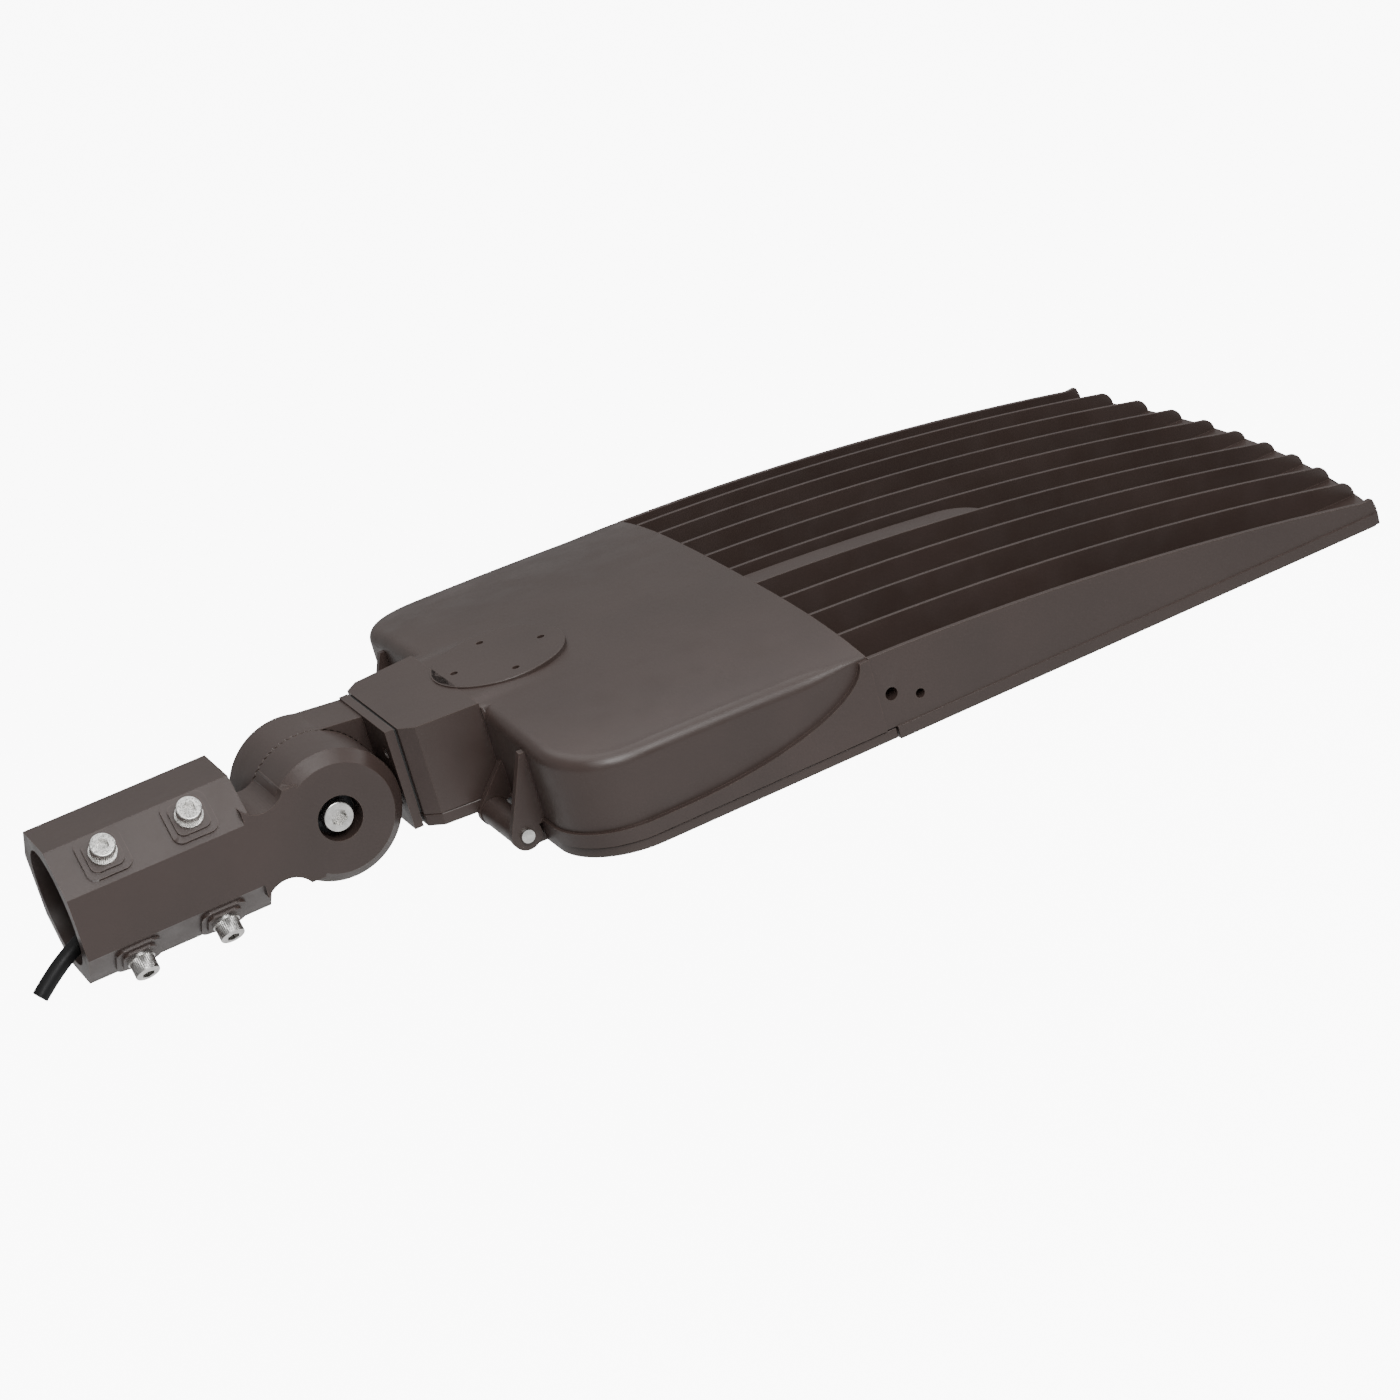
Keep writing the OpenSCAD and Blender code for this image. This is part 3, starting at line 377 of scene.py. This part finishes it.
def soften(bm, radius, segments=2, angle=32.0, keep=None):
    """Rounds the edges that are sharper than the angle and whose faces have room for it."""
    limit = math.radians(angle)
    room = {}
    for face in bm.faces:
        longest = max(edge.calc_length() for edge in face.edges)
        room[face] = face.calc_area() / longest if longest else 0.0
    chosen = []
    for edge in bm.edges:
        if len(edge.link_faces) != 2:
            continue
        if edge.calc_face_angle(0.0) < limit:
            continue
        if min(room[f] for f in edge.link_faces) < radius * 1.1:
            continue
        if keep and not keep(edge):
            continue
        chosen.append(edge)
    bmesh.ops.bevel(
        bm, geom=chosen, offset=radius, offset_type="OFFSET", segments=segments, profile=0.5,
        affect="EDGES", clamp_overlap=True, material=-1)
    bmesh.ops.recalc_face_normals(bm, faces=bm.faces)


def scene_materials(scene):
    """The finishes, made once and shared."""
    casting = scene.lamp_casting
    hardware = scene.lamp_hardware
    made = bpy.data.materials
    if "bronze_coat" not in made:
        powder_coat("bronze_coat", casting.coat_color, casting.coat_roughness)
        stainless("stainless_steel", hardware.steel_color)
        # dark steel that paints the shade in the knuckle bolt's recess, used for the knuckle washer
        stainless("steel_darkened_as_shade", (0.045, 0.045, 0.047), 0.46)
        moulded("black_rubber", (0.018, 0.018, 0.019), 0.62)
        moulded("cord_jacket", (0.006, 0.006, 0.0063), 0.50, 900.0, specular=0.2)
        circuit_board("board_mask", (0.80, 0.81, 0.79))
        moulded("phosphor_yellow", (0.80, 0.60, 0.12), 0.35, 3000.0)
        clear_plastic("clear_acrylic", (0.93, 0.95, 0.96))
        stainless("driver_can", (0.50, 0.51, 0.53), 0.42)
        moulded("red_plastic", (0.42, 0.035, 0.03), 0.32)
        moulded("cream_plastic", (0.70, 0.68, 0.60), 0.42)
        moulded("lead_black", (0.02, 0.02, 0.022), 0.40)
        moulded("lead_red", (0.30, 0.02, 0.02), 0.38)
    return made


# ---- the driver box's roof ----

# The driver box in plan and in height, in millimetres; ROOF_ARC is twice its roof's radius along X
BOX_X, BOX_END, HALF_W, INSET, CORNER = 225.0, 391.0, 154.5, 3.0, 40.0
ROOF_Z, CROWN, NECK_TOP, ROOF_ARC = 30.0, 10.0, 31.6, 6889.0
# How far the new roof lies under the CAD's, so that the CAD's small facets are all cut away
SKIN = 0.15
# Where the neck's raised shoulder fades out, across the lamp and along it
SHOULDER_Y, SHOULDER_X = (34.5, 46.0), (228.0, 300.0)
# The cutter's outline beside the neck, just inside and just outside the neck's wall
NECK_EDGE, NECK_IN, NECK_OUT = 50.3, 50.2, 50.4
# The cutter's top, and its underside where it passes clear over the neck
CUTTER_TOP, NECK_CLEAR = 62.0, 59.0
# The roof's edge narrows to this radius at the joint, from FADE_X on
JOINT_RADIUS, FADE_X = 2.5, 355.0


def roof(x, y):
    """Height of the crowned, arched roof, in millimetres."""
    k = (y / HALF_W) ** 2
    return ROOF_Z - max(0.0, x - BOX_X) ** 2 / ROOF_ARC - CROWN * (0.32 * k + 0.68 * k * k)


def smooth_step(a, b, v):
    t = min(1.0, max(0.0, (v - a) / (b - a)))
    return t * t * (3 - 2 * t)


def skin(x, y):
    """The roof with the neck's raised shoulder fading into it."""
    z = roof(x, y)
    lift = (1 - smooth_step(*SHOULDER_Y, abs(y))) * (1 - smooth_step(*SHOULDER_X, x))
    return z - SKIN + max(0.0, NECK_TOP - SKIN - z) * lift


def roof_path(d):
    """Points round the driver box in plan, d inside its wall."""
    w, r, x0 = HALF_W - INSET - d, CORNER - INSET - d, BOX_X + d
    side = [BOX_END + 0.02 - (BOX_END - BOX_X - CORNER + INSET) * k / 20 for k in range(21)]
    arc = [math.radians(90 * k / 16) for k in range(1, 16)]
    near = [(x, -w) for x in side]
    near += [(x0 + r - r * math.sin(a), -w + r - r * math.cos(a)) for a in arc]
    rear = w - r
    stops = [-rear + (rear - NECK_OUT) * k / 8 for k in range(9)] + [-NECK_IN]
    near += [(x0, y) for y in stops]
    across = [(x0, -NECK_IN + 2 * NECK_IN * k / 20) for k in range(1, 20)]
    return near + across + [(x, -y) for x, y in reversed(near)]


def edge_radius_at(x, radius):
    return radius - (radius - JOINT_RADIUS) * smooth_step(FADE_X, BOX_END, x)


def roof_shaving(radius):
    """The material above the rounded roof, as a closed solid to take away."""
    count = len(roof_path(0.0))
    rows = [(-20.0, None), (-20.0, 0.0), (0.0, 0.0)] + [(None, 11.25 * k) for k in range(1, 9)]
    bm = bmesh.new()
    bmesh.ops.create_grid(bm, x_segments=count, y_segments=len(rows) - 1, size=1.0)
    bm.verts.ensure_lookup_table()
    inner = roof_path(radius)
    for j, (d, turn) in enumerate(rows):
        for i in range(count + 1):
            k = i % count
            r = edge_radius_at(inner[k][0], radius)
            inset = d if d is not None else r * (1 - math.cos(math.radians(turn)))
            x, y = roof_path(inset)[k] if d is not None else (0.0, 0.0)
            if d is None:
                a, b = inner[k], roof_path(0.0)[k]
                x = b[0] + (a[0] - b[0]) * inset / radius
                y = b[1] + (a[1] - b[1]) * inset / radius
            neck = abs(y) < NECK_EDGE and x < BOX_X + radius + 0.5
            if turn is None:
                z = CUTTER_TOP
            elif neck:
                z = NECK_CLEAR if d is not None else skin(x, y)
            elif d is not None:
                z = skin(*inner[k]) - r
            else:
                z = skin(*inner[k]) - r * (1 - math.sin(math.radians(turn)))
            bm.verts[j * (count + 1) + i].co = mm(x, y, z)
    bmesh.ops.remove_doubles(bm, verts=bm.verts, dist=1e-6)
    bmesh.ops.holes_fill(bm, edges=[e for e in bm.edges if e.is_boundary], sides=0)
    cap = [f for f in bm.faces if len(f.verts) > 20 and f.calc_center_median().z < 0.05]
    parts = list(cap)
    for axis, low, high, step in ((0, 229, 391, 4.5), (1, -146, 146, 4.5)):
        place = low
        while place < high:
            centre, normal = Vector((0, 0, 0)), Vector((0, 0, 0))
            centre[axis], normal[axis] = place * MM, 1.0
            geom = set(parts)
            for face in parts:
                geom.update(face.verts)
                geom.update(face.edges)
            result = bmesh.ops.bisect_plane(
                bm, geom=list(geom), dist=1e-7, plane_co=centre, plane_no=normal)
            parts = [g for g in result["geom"] if isinstance(g, bmesh.types.BMFace)]
            place += step
    touched = {v for face in parts for v in face.verts}
    for v in touched:
        v.co.z = skin(v.co.x / MM, v.co.y / MM) * MM
    bmesh.ops.triangulate(bm, faces=[f for f in bm.faces if len(f.verts) > 4 and f in set(parts)])
    bmesh.ops.recalc_face_normals(bm, faces=bm.faces)
    return bm


def cut_away(bm, tool):
    """The first bmesh less the second, as a new bmesh."""
    pair = []
    for name, part in (("whole", bm), ("tool", tool)):
        mesh = bpy.data.meshes.new(name)
        part.to_mesh(mesh)
        part.free()
        thing = bpy.data.objects.new(name, mesh)
        bpy.context.scene.collection.objects.link(thing)
        pair.append(thing)
    cut = pair[0].modifiers.new("cut", "BOOLEAN")
    cut.operation = "DIFFERENCE"
    cut.solver = "EXACT"
    cut.object = pair[1]
    graph = bpy.context.evaluated_depsgraph_get()
    done = bpy.data.meshes.new_from_object(pair[0].evaluated_get(graph))
    result = bmesh.new()
    result.from_mesh(done)
    for thing in pair:
        mesh = thing.data
        bpy.data.objects.remove(thing)
        bpy.data.meshes.remove(mesh)
    bpy.data.meshes.remove(done)
    return result


# Screws, in millimetres: rounding of the head, knurl's depth and its stop below the head's top,
# the tip's length and taper, and where the shank stops inside the tip
HEAD_ROUND, KNURL_DEPTH, KNURL_STOP = 0.8, 0.28, 0.5
TIP_LEN, TIP_TAPER, SHANK_STOP = 0.8, 0.5, 0.7
# A hexagon's size across its flats, over the radius to its corners
HEX_RATIO = 1.732


def cap_screw(head_r, head_h, shank_r, shank_len, across, deep, ribs, place):
    """A socket cap screw with its seat at z 0 and its head above, moved to its place."""
    sides = 2 * ribs if ribs else 64
    head = bmesh.new()
    bmesh.ops.create_cone(
        head, cap_ends=True, segments=sides, radius1=head_r * MM, radius2=head_r * MM, depth=head_h * MM,
        matrix=Matrix.Translation(mm(0, 0, head_h / 2)))
    top = [f for f in head.faces if f.normal.z > 0.9]
    bmesh.ops.bevel(
        head, geom=list(top[0].edges), offset=HEAD_ROUND * MM, offset_type="OFFSET", segments=3,
        profile=0.5, affect="EDGES", clamp_overlap=True, material=-1)
    if ribs:
        for v in head.verts:
            k = round(math.atan2(v.co.y, v.co.x) / (2 * math.pi) * sides)
            if k % 2 and v.co.z < (head_h - KNURL_STOP) * MM:
                v.co.xy *= 1 - KNURL_DEPTH / head_r
    key = bmesh.new()
    bmesh.ops.create_cone(
        key, cap_ends=True, segments=6, radius1=across / HEX_RATIO * MM, radius2=across / HEX_RATIO * MM,
        depth=2 * deep * MM, matrix=Matrix.Translation(mm(0, 0, head_h)))
    head = cut_away(head, key)
    bmesh.ops.create_cone(
        head, cap_ends=True, segments=48, radius1=(shank_r - TIP_TAPER) * MM, radius2=shank_r * MM,
        depth=TIP_LEN * MM, matrix=Matrix.Translation(mm(0, 0, -shank_len + TIP_LEN / 2)))
    bmesh.ops.create_cone(
        head, cap_ends=True, segments=48, radius1=shank_r * MM, radius2=shank_r * MM,
        depth=(shank_len - SHANK_STOP) * MM,
        matrix=Matrix.Translation(mm(0, 0, -(shank_len - SHANK_STOP) / 2)))
    bmesh.ops.transform(head, matrix=place, verts=head.verts)
    bmesh.ops.recalc_face_normals(head, faces=head.faces)
    return head


def on_joint(edge):
    """True on the plane where the driver box and the heat sink meet, which stays closed."""
    return all(abs(v.co.x - BOX_END * MM) < 2e-5 for v in edge.verts)


def round_hole(centre, radius, depth, segments=24):
    """A round peg that cuts a hole, standing along Z."""
    bm = bmesh.new()
    bmesh.ops.create_cone(
        bm, cap_ends=True, segments=segments, radius1=radius, radius2=radius, depth=depth,
        matrix=Matrix.Translation(centre))
    return bm


# ---- operators ----

class LAMP_OT_stage(bpy.types.Operator):
    """Makes the camera, the pale floor and the soft lights"""
    bl_idname = "lamp.stage"
    bl_label = "Stage"

    def execute(self, context):
        scene = context.scene
        stage = scene.lamp_stage
        data = bpy.data.cameras.new("camera")
        data.lens = CAMERA_LENS
        data.sensor_width = 36.0
        data.clip_start = 0.05
        data.clip_end = 60.0
        camera = bpy.data.objects.new("camera", data)
        scene.collection.objects.link(camera)
        ahead = Vector(CAMERA_AHEAD).normalized()
        up = Vector(CAMERA_UP).normalized()
        right = ahead.cross(up).normalized()
        turn = Matrix((right, right.cross(ahead), -ahead)).transposed()
        camera.matrix_world = Matrix.Translation(mm(*CAMERA_PLACE)) @ turn.to_4x4()
        scene.camera = camera

        low = CAD_BOX[0].z - stage.floor_drop
        bm = bmesh.new()
        bmesh.ops.create_grid(bm, x_segments=8, y_segments=8, size=6.0)
        bmesh.ops.translate(bm, vec=(0.3, 1.0, low), verts=bm.verts)
        mesh = bpy.data.meshes.new("floor")
        bm.to_mesh(mesh)
        bm.free()
        floor = bpy.data.objects.new("floor", mesh)
        scene.collection.objects.link(floor)
        f = Finish("pale_floor", stage.floor_color, 0.7)
        f.set("Base Color", f.tint(
            f.ramp(f.noise(3.0), 0, 1), shade(stage.floor_color, 0.99), stage.floor_color))
        # seen from below, the floor lets the view through
        side = f.add("ShaderNodeNewGeometry")
        clear = f.add("ShaderNodeBsdfTransparent")
        mix = f.add("ShaderNodeMixShader")
        glow = f.add("ShaderNodeEmission", Strength=stage.floor_glow)
        ray = f.add("ShaderNodeLightPath")
        lit = f.add("ShaderNodeAddShader")
        dark = f.add("ShaderNodeMixShader")
        black = f.add("ShaderNodeEmission", Strength=0.0)
        f.link(ray.outputs["Is Camera Ray"], dark.inputs[0])
        f.link(black.outputs[0], dark.inputs[1])
        f.link(glow.outputs[0], dark.inputs[2])
        f.link(f.shader.outputs[0], lit.inputs[0])
        f.link(dark.outputs[0], lit.inputs[1])
        f.link(side.outputs["Backfacing"], mix.inputs[0])
        f.link(lit.outputs[0], mix.inputs[1])
        f.link(clear.outputs[0], mix.inputs[2])
        f.link(mix.outputs[0], f.tree.nodes["Material Output"].inputs["Surface"])
        mesh.materials.append(f.mat)

        world = bpy.data.worlds.new("studio")
        world.use_nodes = True
        tree = world.node_tree
        back = tree.nodes["Background"]
        back.inputs["Color"].default_value = (1.0, 1.0, 1.0, 1.0)
        back.inputs["Strength"].default_value = WORLD_LIGHT
        seen = tree.nodes.new("ShaderNodeBackground")
        seen.inputs["Color"].default_value = (1.0, 1.0, 1.0, 1.0)
        seen.inputs["Strength"].default_value = WORLD_SEEN
        path = tree.nodes.new("ShaderNodeLightPath")
        mix = tree.nodes.new("ShaderNodeMixShader")
        tree.links.new(path.outputs["Is Camera Ray"], mix.inputs[0])
        tree.links.new(back.outputs[0], mix.inputs[1])
        tree.links.new(seen.outputs[0], mix.inputs[2])
        tree.links.new(mix.outputs[0], tree.nodes["World Output"].inputs["Surface"])
        scene.world = world

        centre = mm(340, 0, 0)
        for name, place, size, power in (
            ("key_overhead", (0.10, 0.45, 1.85), 2.2, stage.key_power * 0.42),
            ("strip_front", (1.60, 0.20, 0.90), 0.7, stage.key_power * 0.12),
            ("fill_near", (-0.10, -1.35, 1.20), 1.0, stage.key_power * 0.62),
        ):
            light = bpy.data.lights.new(name, "AREA")
            light.shape = "SQUARE"
            light.size = size
            light.energy = power
            lamp = bpy.data.objects.new(name, light)
            scene.collection.objects.link(lamp)
            lamp.location = centre + Vector(place)
            lamp.rotation_mode = "QUATERNION"
            lamp.rotation_quaternion = (-Vector(place)).to_track_quat("-Z", "Y")
        return {"FINISHED"}


class LAMP_OT_cord(bpy.types.Operator):
    """Makes the supply cord along its route and finishes its gland"""
    bl_idname = "lamp.cord"
    bl_label = "Supply cord"

    def execute(self, context):
        made = scene_materials(context.scene)
        route = []
        points = [mm(*p) for p in CORD_ROUTE]
        for i in range(len(points) - 1):
            a, b = points[max(0, i - 1)], points[i]
            c, d = points[i + 1], points[min(len(points) - 1, i + 2)]
            for k in range(4):
                t = k / 4
                route.append(0.5 * (2 * b + (c - a) * t + (2 * a - 5 * b + 4 * c - d) * t * t
                                    + (3 * b - a - 3 * c + d) * t ** 3))
        route.append(points[-1])
        radius = CORD_R * MM
        bm = bmesh.new()
        rings = []
        for i, point in enumerate(route):
            way = (route[min(len(route) - 1, i + 1)] - route[max(0, i - 1)]).normalized()
            across = way.cross(Vector((0.13, 0.21, 0.97))).normalized()
            turn = Matrix((across, way.cross(across), way)).transposed().to_4x4()
            ring = bmesh.ops.create_circle(
                bm, segments=28, radius=radius * (CORD_END_SCALE if i == len(route) - 1 else 1.0),
                matrix=Matrix.Translation(point) @ turn)
            rings.append(ring["verts"])
        edges = []
        for ring in rings:
            edges.append(list({e for v in ring for e in v.link_edges}))
        for a, b in zip(edges, edges[1:]):
            bmesh.ops.bridge_loops(bm, edges=a + b)
        for ring in (rings[0], rings[-1]):
            bmesh.ops.contextual_create(bm, geom=ring)
        bmesh.ops.recalc_face_normals(bm, faces=bm.faces)
        cord = make_piece("supply_cord_jacket", bm, made["cord_jacket"], "socket", 50.0)
        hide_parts("supply_cord")
        repaint("cord_gland", made["black_rubber"])
        return {"FINISHED"}


class LAMP_OT_castings(bpy.types.Operator):
    """Rounds the edges of the socket, arm and covers and coats them"""
    bl_idname = "lamp.castings"
    bl_label = "Socket, arm and covers"

    def execute(self, context):
        made = scene_materials(context.scene)
        radius = context.scene.lamp_casting.edge_radius
        for node, body in (("tenon_socket", "socket"), ("arm_adapter", "head"), ("neck_cover", "head")):
            bm = merged_copy(node)
            soften(bm, radius, keep=lambda e: not all(abs(v.co.y) < TOOTH_ZONE * MM for v in e.verts))
            piece = make_piece(node + "_casting", bm, made["bronze_coat"], body)
            if node != "neck_cover":
                round_rim(piece, KNUCKLE_X * MM, KNUCKLE_R * MM)
            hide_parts(node)
        return {"FINISHED"}


class LAMP_OT_housing(bpy.types.Operator):
    """Makes the driver box with its rounded roof edge, the photocell pad and the finned heat sink"""
    bl_idname = "lamp.housing"
    bl_label = "Housing"

    def execute(self, context):
        made = scene_materials(context.scene)
        casting = context.scene.lamp_casting
        bm = cut_away(merged_copy("driver_box"), roof_shaving(casting.roof_radius / MM))
        soften(bm, casting.edge_radius, keep=lambda e: min(v.co.z for v in e.verts) < 0.020
               and not on_joint(e))
        piece = make_piece("driver_box_casting", bm, made["bronze_coat"], "head")
        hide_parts("driver_box")

        bm = merged_copy("heat_sink")
        soften(bm, casting.edge_radius, keep=lambda e: not on_joint(e))
        piece = make_piece("heat_sink_casting", bm, made["bronze_coat"], "head")
        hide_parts("heat_sink")

        # the photocell pad on the neck's shoulder
        pad = round_hole(mm(PAD_X, 0, PAD_MID), PAD_R * MM, PAD_H * MM, 128)
        for k in range(4):
            a = math.radians(90 * k)
            spot = mm(PAD_X + PAD_HOLE_CIRCLE * math.cos(a), PAD_HOLE_CIRCLE * math.sin(a), 31)
            pad = cut_away(pad, round_hole(spot, PAD_HOLE_R * MM, 12 * MM))
        centre = mm(PAD_X, 0, 0)
        rim = [e for e in pad.edges if e.calc_length() < 2.2 * MM and all(
            v.co.z > 0.032 and abs((v.co - centre).xy.length - PAD_R * MM) < 1e-4 for v in e.verts)]
        bmesh.ops.bevel(
            pad, geom=rim, offset=0.0006, offset_type="OFFSET", segments=3, profile=0.5,
            affect="EDGES", clamp_overlap=True, material=-1)
        make_piece("photocell_pad", pad, made["bronze_coat"], "head")
        return {"FINISHED"}


class LAMP_OT_screw_heads(bpy.types.Operator):
    """Makes the knurled clamp screws and the knuckle bolt"""
    bl_idname = "lamp.screw_heads"
    bl_label = "Clamp screws and knuckle bolt"

    def execute(self, context):
        made = scene_materials(context.scene)
        ribs = context.scene.lamp_hardware.knurl_count
        for k in range(4):
            x, turn = CLAMP_X + CLAMP_PITCH * (k % 2), 45 if k < 2 else 135
            place = (Matrix.Translation(mm(x, 0, 0)) @ Matrix.Rotation(math.radians(turn), 4, "X")
                     @ Matrix.Translation(mm(0, 0, CLAMP_SEAT)))
            bm = cap_screw(head_r=6.5, head_h=8.0, shank_r=4.0, shank_len=12.6, across=6.0, deep=4.0,
                           ribs=ribs, place=place)
            node = "set_screw_%d" % (k + 1)
            piece = make_piece(node + "_cap", bm, made["stainless_steel"], node, 40.0)
            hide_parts(node)
        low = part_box("knuckle_bolt")[0]
        place = Matrix.Translation(mm(KNUCKLE_X, -BOLT_SEAT, 0)) @ Matrix.Rotation(math.radians(90), 4, "X")
        bm = cap_screw(head_r=8.0, head_h=-low.y / MM - BOLT_SEAT, shank_r=5.0, shank_len=64.0,
                       across=8.0, deep=5.0, ribs=0, place=place)
        piece = make_piece("knuckle_bolt_cap", bm, made["stainless_steel"], "socket", 40.0)
        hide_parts("knuckle_bolt")
        return {"FINISHED"}


class LAMP_OT_lenses(bpy.types.Operator):
    """Makes the clear lens plates with a dome over each chip"""
    bl_idname = "lamp.lenses"
    bl_label = "Lens plates"

    def execute(self, context):
        made = scene_materials(context.scene)
        lenses = context.scene.lamp_lenses
        low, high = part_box("lens_plates")
        gap = PLATE_GAP * MM
        size_x = (high.x - low.x - gap) / 2
        size_y = (high.y - low.y - gap) / 2
        flat = PLATE_H * MM
        rim = PLATE_RIM * MM
        n = lenses.dome_count
        bm = bmesh.new()
        for i in range(2):
            for j in range(2):
                centre = Vector((low.x + size_x / 2 + i * (size_x + gap),
                                 low.y + size_y / 2 + j * (size_y + gap), 0))
                plate = bmesh.ops.create_cube(bm, size=1.0)["verts"]
                bmesh.ops.scale(bm, vec=(size_x, size_y, flat), verts=plate)
                bmesh.ops.translate(bm, vec=centre + Vector((0, 0, high.z - flat / 2)), verts=plate)
                edges = list({e for v in plate for e in v.link_edges})
                bmesh.ops.bevel(
                    bm, geom=edges, offset=0.0005, offset_type="OFFSET", segments=2, profile=0.5,
                    affect="EDGES", clamp_overlap=True, material=-1)
                zone = bmesh.ops.create_cube(bm, size=1.0)["verts"]
                bmesh.ops.scale(bm, vec=(size_x - rim, size_y - rim, ZONE_H * MM), verts=zone)
                bmesh.ops.translate(bm, vec=centre + Vector((0, 0, high.z - flat - 0.39 * MM)), verts=zone)
                for a in range(n):
                    for b in range(n):
                        spot = centre + Vector(((a - (n - 1) / 2) * LENS_PITCH_X * MM,
                                                (b - (n - 1) / 2) * LENS_PITCH_Y * MM,
                                                high.z - flat - 0.7 * MM))
                        dome = bmesh.ops.create_uvsphere(bm, u_segments=14, v_segments=8, radius=1.0)["verts"]
                        for v in dome:
                            v.co.z = min(v.co.z, 0.0)
                        bmesh.ops.scale(
                            bm, vec=(lenses.dome_radius * LENS_OVAL, lenses.dome_radius, LENS_H * MM),
                            verts=dome)
                        bmesh.ops.translate(bm, vec=spot, verts=dome)
        bmesh.ops.remove_doubles(bm, verts=bm.verts, dist=1e-7)
        bmesh.ops.recalc_face_normals(bm, faces=bm.faces)
        piece = make_piece("lens_plate_optics", bm, made["clear_acrylic"], "head", 40.0)
        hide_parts("lens_plates")
        return {"FINISHED"}


class LAMP_OT_door(bpy.types.Operator):
    """Makes the driver door"""
    bl_idname = "lamp.door"
    bl_label = "Driver door"

    def execute(self, context):
        made = scene_materials(context.scene)
        bm = merged_copy("driver_door")
        soften(bm, context.scene.lamp_casting.edge_radius)
        piece = make_piece("driver_door_casting", bm, made["bronze_coat"], "door")
        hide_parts("driver_door")
        return {"FINISHED"}


class LAMP_OT_hardware(bpy.types.Operator):
    """Finishes the fasteners, gaskets and small fittings"""
    bl_idname = "lamp.hardware"
    bl_label = "Hardware"

    def execute(self, context):
        made = scene_materials(context.scene)
        finishes = {
            "stainless_steel": (
                "knuckle_bolt", "knuckle_nut", "set_screw_1", "set_screw_2", "set_screw_3",
                "set_screw_4", "set_screw_washers", "arm_bolts", "arm_bolt_washers", "neck_cover_screws",
                "lens_screws", "driver_screws", "surge_screws", "terminal_screws", "hinge_pins",
                "door_screw_left", "door_screw_right", "door_screw_clips"),
            # the knuckle washer is darkened as painted shade in the bolt's recess
            "steel_darkened_as_shade": ("knuckle_washer",),
            "black_rubber": ("arm_gasket", "lens_gaskets", "door_gasket", "wire_grommet"),
            "board_mask": ("led_boards",),
            "phosphor_yellow": ("led_chips",),
            "clear_acrylic": ("lens_plates",),
            "driver_can": ("led_driver",),
            "red_plastic": ("surge_protector",),
            "cream_plastic": ("terminal_block",),
            "lead_black": ("mains_leads",),
            "lead_red": ("led_leads",),
        }
        for finish, nodes in finishes.items():
            for node in nodes:
                repaint(node, made[finish])
        return {"FINISHED"}


class LAMP_PT_panel(bpy.types.Panel):
    bl_label = "Lamp head"
    bl_idname = "LAMP_PT_panel"
    bl_space_type = "VIEW_3D"
    bl_region_type = "UI"
    bl_category = "Lamp head"

    def draw(self, context):
        scene = context.scene
        for group in (scene.lamp_casting, scene.lamp_hardware, scene.lamp_lenses, scene.lamp_stage):
            box = self.layout.box()
            for key in group.__annotations__:
                box.prop(group, key)
        for operator in OPERATORS:
            self.layout.operator(operator.bl_idname)


GROUPS = (
    ("lamp_casting", CastingSettings),
    ("lamp_hardware", HardwareSettings),
    ("lamp_lenses", LensSettings),
    ("lamp_stage", StageSettings),
)
OPERATORS = (
    LAMP_OT_stage, LAMP_OT_cord, LAMP_OT_castings, LAMP_OT_housing, LAMP_OT_door, LAMP_OT_hardware,
    LAMP_OT_screw_heads, LAMP_OT_lenses,
)


def register():
    for name, group in GROUPS:
        bpy.utils.register_class(group)
        setattr(bpy.types.Scene, name, PointerProperty(type=group))
    for operator in OPERATORS:
        bpy.utils.register_class(operator)
    bpy.utils.register_class(LAMP_PT_panel)


def unregister():
    bpy.utils.unregister_class(LAMP_PT_panel)
    for operator in reversed(OPERATORS):
        bpy.utils.unregister_class(operator)
    for name, group in reversed(GROUPS):
        delattr(bpy.types.Scene, name)
        bpy.utils.unregister_class(group)


def main():
    register()
    for operator in OPERATORS:
        group, name = operator.bl_idname.split(".")
        getattr(getattr(bpy.ops, group), name)()


if __name__ == "__main__":
    main()
